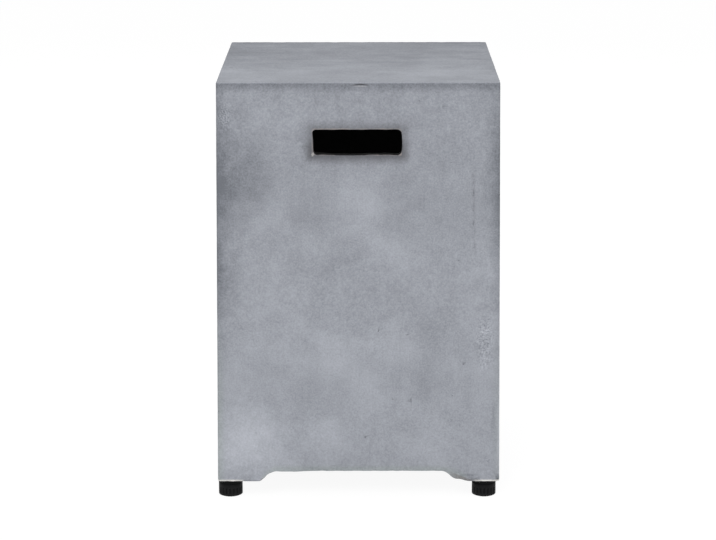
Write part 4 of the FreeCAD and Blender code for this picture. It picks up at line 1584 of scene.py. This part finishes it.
@dataclass
class LevellingBolt(CornerPart):
    """A levelling bolt that stands head down in its foot."""

    name: str = "bolt_threaded"
    node: str = "levelling_bolt"
    body: str = "foot"
    slot: str = "bolt_zinc"
    looks: MetalFinish = MetalFinish("dulled_zinc", (0.60, 0.61, 0.62), (0.36, 0.36, 0.37), 0.34)
    shank: float = 3.98
    root: float = 3.3
    flats: float = 13.0
    head_low: float = 3.7
    head_high: float = 9.0
    tip: float = 59.0
    pitch: float = 1.25

    def form(self, trees: ShapeTrees, finish: bpy.types.Material) -> bpy.types.Object:
        """Bevelled hexagon head, plain neck and a threaded shank with a bevelled tip.

        Args:
            trees: The geometry trees.
            finish: The bolt's material.

        Returns:
            The bolt, about the z axis.
        """
        inner, reach = self.flats / 2, self.flats / math.sqrt(3)
        bevel = [Ring(inner + share * (reach - inner), self.head_low + 0.15 + 0.6 * share, 0.0, self.flats)
                 for share in (0.0, 0.2, 0.4, 0.6, 0.8, 1.0)]
        rings = [
            Ring(0, self.head_low),
            Ring(inner - 0.4, self.head_low),
            *bevel,
            Ring(reach + 1, self.head_high, 0.0, self.flats),
            Ring(self.shank, self.head_high),
            Ring(self.shank, self.head_high + 1.9, 0.2),
            Ring(self.root, self.head_high + 2.6, 0.2),
            *[Ring(self.root, self.head_high + 4 + 4 * step) for step in range(12)],
            Ring(self.root, self.tip - 0.8),
            Ring(self.root - 0.7, self.tip),
            Ring(0, self.tip),
        ]
        piece = turned(self.name, rings, 48, False)
        sizes = in_metres(low=self.head_high + 2.7, high=self.tip - 1.4, pitch=self.pitch,
                          root_radius=self.root, ridge=self.shank - self.root)
        shape_by(piece, trees.screw_thread, finish=finish, **sizes)
        return piece


@dataclass
class LevellingFoot(CornerPart):
    """A moulded foot, greyer on the lands of its fluted grip, partly rub and partly painted highlight, that
    holds the bolt's head.
    """

    name: str = "foot_moulding"
    node: str = "levelling_foot"
    body: str = "foot"
    slot: str = "foot_nylon"
    looks: MouldedFinish = MouldedFinish(
        "black_nylon", (0.0026, 0.0026, 0.0030), (0.034, 0.034, 0.035), 0.50, 0.12, 0.22)
    radius: float = 17.25
    top: float = 24.5
    hole: float = 4.1
    pocket_flats: float = 13.2
    pocket_top: float = 9.0
    flute_low: float = 4.0
    flute_high: float = 13.5

    def form(self, trees: ShapeTrees, finish: bpy.types.Material) -> bpy.types.Object:
        """Flange, neck and fluted grip outside, and a recess, ring groove, hexagon and hole inside.

        Args:
            trees: The geometry trees.
            finish: The foot's material.

        Returns:
            The foot, about the z axis.
        """
        low, high = self.flute_low, self.flute_high
        ends = [step * 0.15 for step in range(7)]
        heights = [low + end for end in ends] + [low + 1.6 + 0.9 * step for step in range(8)]
        heights += [high - end for end in reversed(ends)]
        rings = [
            Ring(self.hole, self.top - 0.4),
            Ring(self.hole + 0.4, self.top),
            Ring(self.radius, self.top, 0.9),
            Ring(self.radius, 20.5, 0.45),
            Ring(self.radius - 1.1, 20.4, 0.3),
            Ring(self.radius - 1.1, 18.9, 0.3),
            Ring(self.radius, 18.8, 0.45),
            Ring(self.radius, 16.0),
            *[Ring(self.radius, height) for height in sorted(heights, reverse=True)],
            Ring(self.radius, 3.0),
            Ring(self.radius, 1.0, 1.0),
            Ring(15.0, 1.0, 0.2),
            Ring(15.0, 3.5),
            Ring(12.08, 3.5, 0.1),
            Ring(12.08, 6.5),
            Ring(9.52, 6.5),
            Ring(9.52, 3.5, 0.1),
            Ring(self.pocket_flats, 3.5, 0.0, self.pocket_flats),
            Ring(self.pocket_flats, self.pocket_top, 0.0, self.pocket_flats),
            Ring(self.hole, self.pocket_top),
        ]
        piece = turned(self.name, rings, 300, True)
        sizes = in_metres(outer_radius=self.radius, flute_radius=1.6, depth=0.9, low=low, high=high, end=0.9)
        shape_by(piece, trees.flutes, finish=finish, count=20, **sizes)
        # The lands are greyer, partly rub and partly painted highlight; the grey stops between 14.5 and 17.5
        # mm up, so the part under the shell stays darker as painted shade.
        worn = []
        for vertex in piece.data.vertices:
            out = eased(vertex.co.xy.length / MM, self.radius - 0.7, self.radius - 0.05)
            worn.append(out * (1 - eased(vertex.co.z / MM, 14.5, 17.5)))
        piece.data.attributes.new("worn_edge", "FLOAT", "POINT").data.foreach_set("value", worn)
        return piece


@dataclass
class SwivelPad(CornerPart):
    """A rubber pad that stays still on the floor while its foot is turned."""

    name: str = "pad_treaded"
    node: str = "swivel_pad"
    body: str = "pad"
    slot: str = "pad_rubber"
    looks: MouldedFinish = MouldedFinish(
        "dusty_rubber", (0.012, 0.012, 0.0125), (0.13, 0.12, 0.11), 0.72, 0.5)
    radius: float = 14.5
    thickness: float = 3.5
    ring_top: float = 6.1
    groove_depth: float = 0.45

    def form(self, trees: ShapeTrees, finish: bpy.types.Material) -> bpy.types.Object:
        """A disc with a ring on top, grooves underneath and notches round its lower edge.

        Args:
            trees: The geometry trees.
            finish: The pad's material.

        Returns:
            The pad, about the z axis.
        """
        rings = [Ring(0, self.groove_depth)]
        for start in (2.0, 5.2, 8.4, 11.6):
            rings += [Ring(start, self.groove_depth), Ring(start + 0.3, 0.0, 0.12),
                      Ring(start + 2.2, 0.0, 0.12), Ring(start + 2.5, self.groove_depth)]
        # The outermost land runs out to the rim, without a groove of its own beyond it.
        rings = rings[:-2] + [
            Ring(self.radius, 0.0, 0.4),
            Ring(self.radius, 0.8),
            Ring(self.radius, 1.0),
            Ring(self.radius, self.thickness, 0.3),
            Ring(12.0, self.thickness),
            Ring(12.0, self.ring_top, 0.3),
            Ring(9.6, self.ring_top, 0.3),
            Ring(9.6, self.thickness),
            Ring(0, self.thickness),
        ]
        piece = turned(self.name, rings, 240, False)
        sizes = in_metres(outer_radius=self.radius, flute_radius=0.6, depth=0.35, low=-0.5, high=1.0, end=0.2)
        shape_by(piece, trees.flutes, finish=finish, count=24, **sizes)
        return piece


@dataclass(frozen=True)
class Lamp:
    """A large soft lamp: its name, its place, its width and its power in watts."""

    name: str
    place: tuple[float, float, float]
    width: float
    power: float


LAMPS = (Lamp("key_light", (-1.3, -3.0, 2.9), 2.4, 72.0), Lamp("fill_light", (2.4, -2.2, 1.5), 2.0, 22.0),
         Lamp("back_light", (0.3, 2.8, 2.4), 2.0, 24.0))


@dataclass
class Studio:
    """The plain pale floor, the soft lights and the camera."""

    lens: float = 116.3
    camera_place: tuple[float, float, float] = (0.0090, -3.3757, 1.1099)
    camera_turns: tuple[float, float, float] = (76.34, 0.17, -0.08)
    middle: tuple[float, float, float] = (0.0, 0.0, 0.33)
    floor_half: float = 20.0
    sky: float = 0.50

    def build(self) -> None:
        """Sets up the whole studio."""
        self._camera()
        self._lamps()
        self._world()
        self._floor()
        bpy.context.scene.view_settings.view_transform = "Standard"

    def _camera(self) -> None:
        """The camera, where the picture was taken from."""
        data = bpy.data.cameras.new("photo_camera")
        data.lens, data.sensor_width, data.clip_end = self.lens, 36.0, 100.0
        camera = bpy.data.objects.new("photo_camera", data)
        bpy.context.scene.collection.objects.link(camera)
        tilt, pan, roll = (math.radians(angle) for angle in self.camera_turns)
        turns = Matrix.Rotation(pan, 4, "Z") @ Matrix.Rotation(tilt, 4, "X") @ Matrix.Rotation(roll, 4, "Z")
        camera.matrix_world = Matrix.Translation(self.camera_place) @ turns
        bpy.context.scene.camera = camera

    def _lamps(self) -> None:
        """The lamps, all turned to the middle of the table."""
        for lamp in LAMPS:
            data = bpy.data.lights.new(lamp.name, "AREA")
            data.shape, data.size, data.energy = "DISK", lamp.width, lamp.power
            light = bpy.data.objects.new(lamp.name, data)
            bpy.context.scene.collection.objects.link(light)
            light.location = lamp.place
            aim = Vector(self.middle) - Vector(lamp.place)
            light.rotation_euler = aim.to_track_quat("-Z", "Y").to_euler()

    @staticmethod
    def _end(graph: Graph, kind: str, lights: Value, looks: Value) -> None:
        """Ends a tree with one shader for what only lights, and one for what is looked at or reflected.

        Args:
            graph: The tree's graph.
            kind: The output node's type.
            lights: The first shader.
            looks: The second shader.
        """
        rays = graph.add("ShaderNodeLightPath").outputs
        names = ("Is Camera Ray", "Is Glossy Ray", "Is Transmission Ray")
        seen = graph.chain("MAXIMUM", [Value(graph, rays[name]) for name in names])
        mixed = graph.add("ShaderNodeMixShader", {"Fac": seen})
        for socket, shader in zip(mixed.inputs[1:], (lights, looks)):
            graph.feed(socket, shader)
        graph.add(kind, {"Surface": Value(graph, mixed.outputs[0])})

    def _world(self) -> None:
        """A white surrounding that lights more gently than it looks."""
        world = bpy.data.worlds.new("studio")
        bpy.context.scene.world = world
        world.use_nodes = True
        world.node_tree.nodes.clear()
        graph = Graph(world.node_tree)
        gentle, white = (graph.get("ShaderNodeBackground", {"Color": (1.0, 1.0, 1.0), "Strength": strength})
                         for strength in (self.sky, 1.0))
        self._end(graph, "ShaderNodeOutputWorld", gentle, white)

    def _floor(self) -> None:
        """A white floor that keeps the table's faint shadow."""
        half = self.floor_half
        mesh = bpy.data.meshes.new("studio_floor")
        corners = [(-half, -half, 0), (half, -half, 0), (half, half, 0), (-half, half, 0)]
        mesh.from_pydata(corners, [], [(0, 1, 2, 3)])
        material = bpy.data.materials.new("floor_paper")
        material.use_nodes = True
        material.node_tree.nodes.clear()
        graph = Graph(material.node_tree)
        plain, shaded = (graph.get("ShaderNodeBsdfDiffuse", {"Color": (grey, grey, grey)})
                         for grey in (0.8, 0.12))
        glow = graph.get("ShaderNodeEmission", {"Color": (1.0, 1.0, 1.0), "Strength": 0.93})
        looked_at = graph.add("ShaderNodeAddShader")
        for socket, shader in zip(looked_at.inputs, (shaded, glow)):
            graph.feed(socket, shader)
        self._end(graph, "ShaderNodeOutputMaterial", plain, Value(graph, looked_at.outputs[0]))
        mesh.materials.append(material)
        new_piece("studio_floor", mesh)


def main() -> None:
    """Builds the studio and every piece of the table."""
    logging.basicConfig(level=logging.INFO, format="%(name)s: %(message)s")
    effects, trees = Effects(), ShapeTrees()
    Studio().build()
    for part in (CastShell(), ThreadedInsert(), LevellingBolt(), LevellingFoot(), SwivelPad()):
        for piece in part.build(effects, trees):
            LOG.info("%s: %d faces", piece.name, len(piece.data.polygons))


if __name__ == "__main__":
    main()
